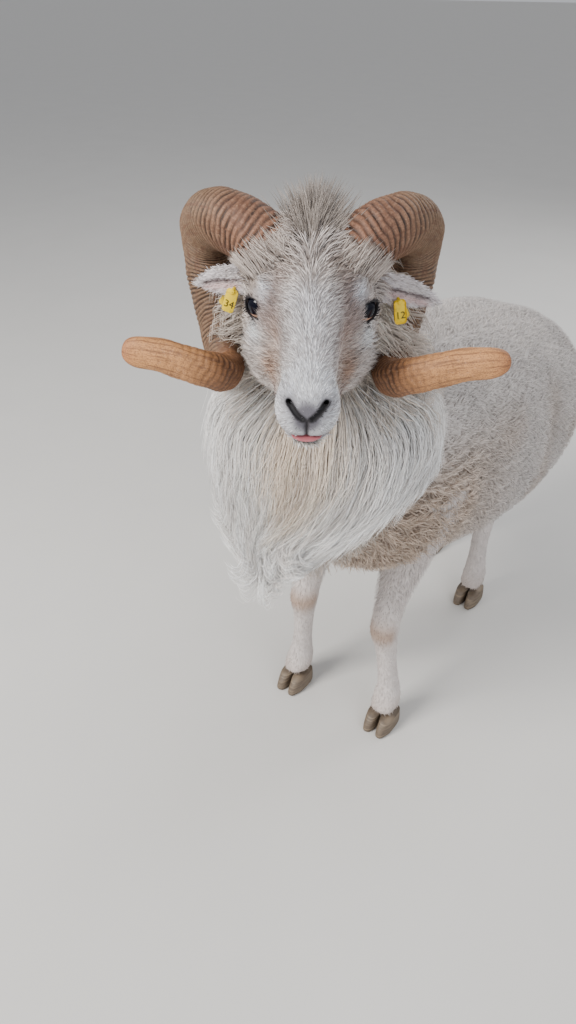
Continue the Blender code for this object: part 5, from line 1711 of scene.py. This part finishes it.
def sheath_map(made, count, around, length):
    """A map with one axis along the horn, in shares of HORN_LENGTH, and one round it."""
    mesh = made.data
    corners = np.empty(len(mesh.loops), int)
    mesh.loops.foreach_get("vertex_index", corners)
    row, column = np.divmod(np.minimum(corners, count * around - 1), around)
    turn = np.abs(2 * column / around - 1)  # there and back, so that no seam shows
    places = np.stack([row / (count - 1) * length / HORN_LENGTH, turn * 0.22], -1)
    layer = mesh.uv_layers.new(name="sheath")
    layer.uv.foreach_set("vector", places.astype(np.float32).ravel())


def eyeball(label):
    """An eyeball with the cornea's bulge in front."""
    made = ball("eyeball_" + label, EYE_RADIUS, Matrix.Identity(4), 64, 44)
    points = vertices_of(made)
    reach = np.hypot(points[:, 0], points[:, 2])
    points[:, 1] -= np.where(points[:, 1] < 0, 0.0007 * (1 - ramp(reach, 0.0055, 0.0085)), 0.0)
    move_to(made, points)
    made.data.transform(gaze_frame(SIDES[label]))
    choose(made)
    bpy.ops.object.shade_smooth()
    settle(made, eye_finish(label), "eye", "eye_" + label)


def claws(finish):
    """Two claws to a foot, each longest at its sole, with a worn toe and a hollow between them."""
    for name in STEPS:
        rows, side = leg_of(name)
        foot_x, foot_y = side * (rows[-1][1] + STEPS[name][0]), rows[-1][2] + STEPS[name][1]
        for half, label in ((1.0, "outer"), (-1.0, "inner")):
            rings = []
            for level, (height, reach_front, reach_back, wide) in enumerate(through(CLAW_ROWS, 26)):
                ridge = 0.00025 * math.sin(2.1 * level)
                half_wide = HOOF_HALF_WIDE * wide / 2
                ring = oval(40, half_wide - HOOF_CLEFT / 2 + ridge, HOOF_LENGTH * reach_back,
                            HOOF_LENGTH * reach_front + ridge, 0.72)
                taper = 1 - 0.30 * ramp(-ring[:, 1], 0.010, 0.030)
                ring[:, 0] *= np.where(ring[:, 0] * side * half < 0, 1.0, taper)
                middle = foot_x + side * half * (half_wide + HOOF_CLEFT / 2)
                rings.append([(middle + px, foot_y + py, max(0.0, height)) for px, py in ring])
            made = loft(f"claw_{name}_{label}", rings, flat_start=True)
            settle(made, finish, "hoof", f"hoof_{name}_{label}")


def tag_plate(name, label, middle, size, y_from, y_to, lean):
    """A plate with rounded corners and edges, across the ear frame's Y, and the frame of its middle."""
    side = SIDES[label]
    deselect()
    bpy.ops.mesh.primitive_cube_add(size=1.0, scale=(size[0], y_to - y_from, size[1]))
    made = bpy.context.object
    made.name = name
    bpy.ops.object.transform_apply(location=True, rotation=True, scale=True)
    bpy.ops.object.mode_set(mode="EDIT")
    bpy.ops.mesh.select_all(action="DESELECT")
    bpy.ops.object.mode_set(mode="OBJECT")
    for edge in made.data.edges:
        a, b = (made.data.vertices[k].co for k in edge.vertices)
        edge.select = abs(a.y - b.y) > 1e-5
    bpy.ops.object.mode_set(mode="EDIT")
    bpy.ops.mesh.select_mode(type="EDGE")
    bpy.ops.mesh.bevel(offset=0.0026, segments=6, affect="EDGES")
    bpy.ops.object.mode_set(mode="OBJECT")
    apply_modifier(made, "BEVEL", width=0.0003, segments=2, limit_method="ANGLE",
                   angle_limit=math.radians(50))
    turn = Matrix.Translation((side * middle[0], (y_from + y_to) / 2, middle[1]))
    turn = ear_frame(side) @ turn @ Matrix.Rotation(math.radians(-side * lean), 4, "Y")
    made.data.transform(turn)
    return made, turn


def pin_part(name, label, reaches, radius, around):
    """A round part on the axis of the tag's pin."""
    side = SIDES[label]
    path = [(side * TAG_OUT[label], y, TAG_PIN_HEIGHT) for y in reaches]
    return tube(name, placed(path, ear_frame(side)), radius, around)


def tag(label, plastic, ink):
    """A front plate with a plain number, a smaller rear one, and the pin that goes through the ear."""
    out = TAG_OUT[label]
    front, turn = tag_plate("ear_tag_plate_" + label, label, (out + 0.0027, -0.0165), TAG_FRONT,
                            -0.0112, -0.0096, 20.0)
    rear, _ = tag_plate("rear", label, (out + 0.0078, -0.0180), TAG_REAR, 0.0046, 0.0060, 40.0)
    bar = pin_part("bar", label, (-0.0108, -0.003, 0.0052), TAG_PIN_RADIUS, 20)
    stud = pin_part("stud", label, (-0.0124, -0.0118, -0.0110), (0.0018, 0.0023, 0.0024), 24)
    join(front, [rear, bar, stud])
    choose(front)
    bpy.ops.object.shade_smooth_by_angle(angle=math.radians(35))
    settle(front, plastic, "tag_plastic", "ear_tag_" + label)
    deselect()
    bpy.ops.object.text_add()
    digits = bpy.context.object
    digits.data.body = TAG_TEXT[label]
    digits.data.size = 0.0085
    digits.data.extrude = 0.00012
    digits.data.align_x = "CENTER"
    digits.data.align_y = "CENTER"
    bpy.ops.object.convert(target="MESH")
    digits = bpy.context.object
    digits.name = "ear_tag_number_" + label
    stand = Matrix.Translation((0.0, -0.0009, -0.0030)) @ Matrix.Rotation(math.radians(90), 4, "X")
    digits.data.transform(turn @ stand)
    settle(digits, ink, "tag_plastic")


# The studio


def studio():
    """A plain pale floor, soft light from above and in front, and the camera of the photograph."""
    deselect()
    bpy.ops.mesh.primitive_plane_add(size=60.0, location=(0.0, 0.0, -0.0005))
    floor = bpy.context.object
    floor.name = "floor"
    bpy.ops.object.transform_apply(location=True, rotation=True, scale=True)
    floor.data.materials.append(floor_finish())
    world = bpy.context.scene.world or bpy.data.worlds.new("studio")
    bpy.context.scene.world = world
    world.use_nodes = True
    sky = world.node_tree.nodes["Background"].inputs
    sky["Color"].default_value = (0.93, 0.95, 1.0, 1.0)
    sky["Strength"].default_value = 0.55
    for name, place, size, power, colour in (
        ("key", (-0.75, -1.75, 1.75), 0.9, 74.0, (1.0, 0.97, 0.93)),
        ("fill", (1.60, -1.00, 1.00), 1.6, 20.0, (0.93, 0.96, 1.0)),
        ("rim", (0.30, 1.70, 1.60), 1.4, 24.0, (1.0, 1.0, 1.0)),
    ):
        deselect()
        bpy.ops.object.light_add(type="AREA", location=place)
        lamp = bpy.context.object
        lamp.name = "light_" + name
        lamp.data.size = size
        lamp.data.energy = power
        lamp.data.color = colour
        lamp.rotation_euler = (Vector(LIGHTS_AIM) - Vector(place)).to_track_quat("-Z", "Y").to_euler()
    deselect()
    bpy.ops.object.camera_add(
        location=Vector(CAMERA_AT + SHIFT),
        rotation=(math.radians(90.0 - CAMERA_DOWN), 0.0, math.radians(CAMERA_HEADING)),
    )
    camera = bpy.context.object
    camera.name = "camera"
    camera.data.sensor_fit = "AUTO"
    camera.data.sensor_width = SENSOR
    camera.data.lens = FOCAL * SENSOR / FRAME_HIGH
    camera.data.clip_start = 0.02
    bpy.context.scene.camera = camera


def dress_skin():
    """One skin for all the flesh, unwrapped and coloured, with painted shade that darkens it under the hair.
    """
    skin = combine(body_skin(), "UNION", [head_skin()])
    choose(skin)
    bpy.ops.object.shade_smooth()
    bpy.ops.object.mode_set(mode="EDIT")
    bpy.ops.mesh.select_all(action="SELECT")
    bpy.ops.uv.smart_project(angle_limit=math.radians(66), island_margin=0.001)
    bpy.ops.object.mode_set(mode="OBJECT")
    if "UVMap" not in skin.data.uv_layers:
        skin.data.uv_layers[0].name = "UVMap"
    regions_at = region_finder()
    points = vertices_of(skin)
    regions = regions_at(points)
    # Painted shade: the skin under the hair is darkened, most on the head, so that the gaps between tufts
    # read dark.
    under = np.where(regions == HEAD, 0.62, np.where(regions == NECK, 0.80, 0.88))
    tint(skin, under[:, None] * markings(points, regions))
    return skin, Surface(skin, regions_at)


def main():
    studio()
    hair = hair_finish()
    skin, surface = dress_skin()
    for dress in (short_coat, collar, ruff, ruff_curls, forelocks, crest, lashes):
        dress(surface, hair)
    settle(skin, skin_finish(), "fleece", *FLESH)
    sheath, plastic, ink = horn_finish(), tag_finish(), ink_finish()
    for label in SIDES:
        horn(label, sheath)
        eyeball(label)
        tag(label, plastic, ink)
    claws(hoof_finish())
    frame["nodes"]["tongue"].material_slots[0].material = tongue_finish()


main()
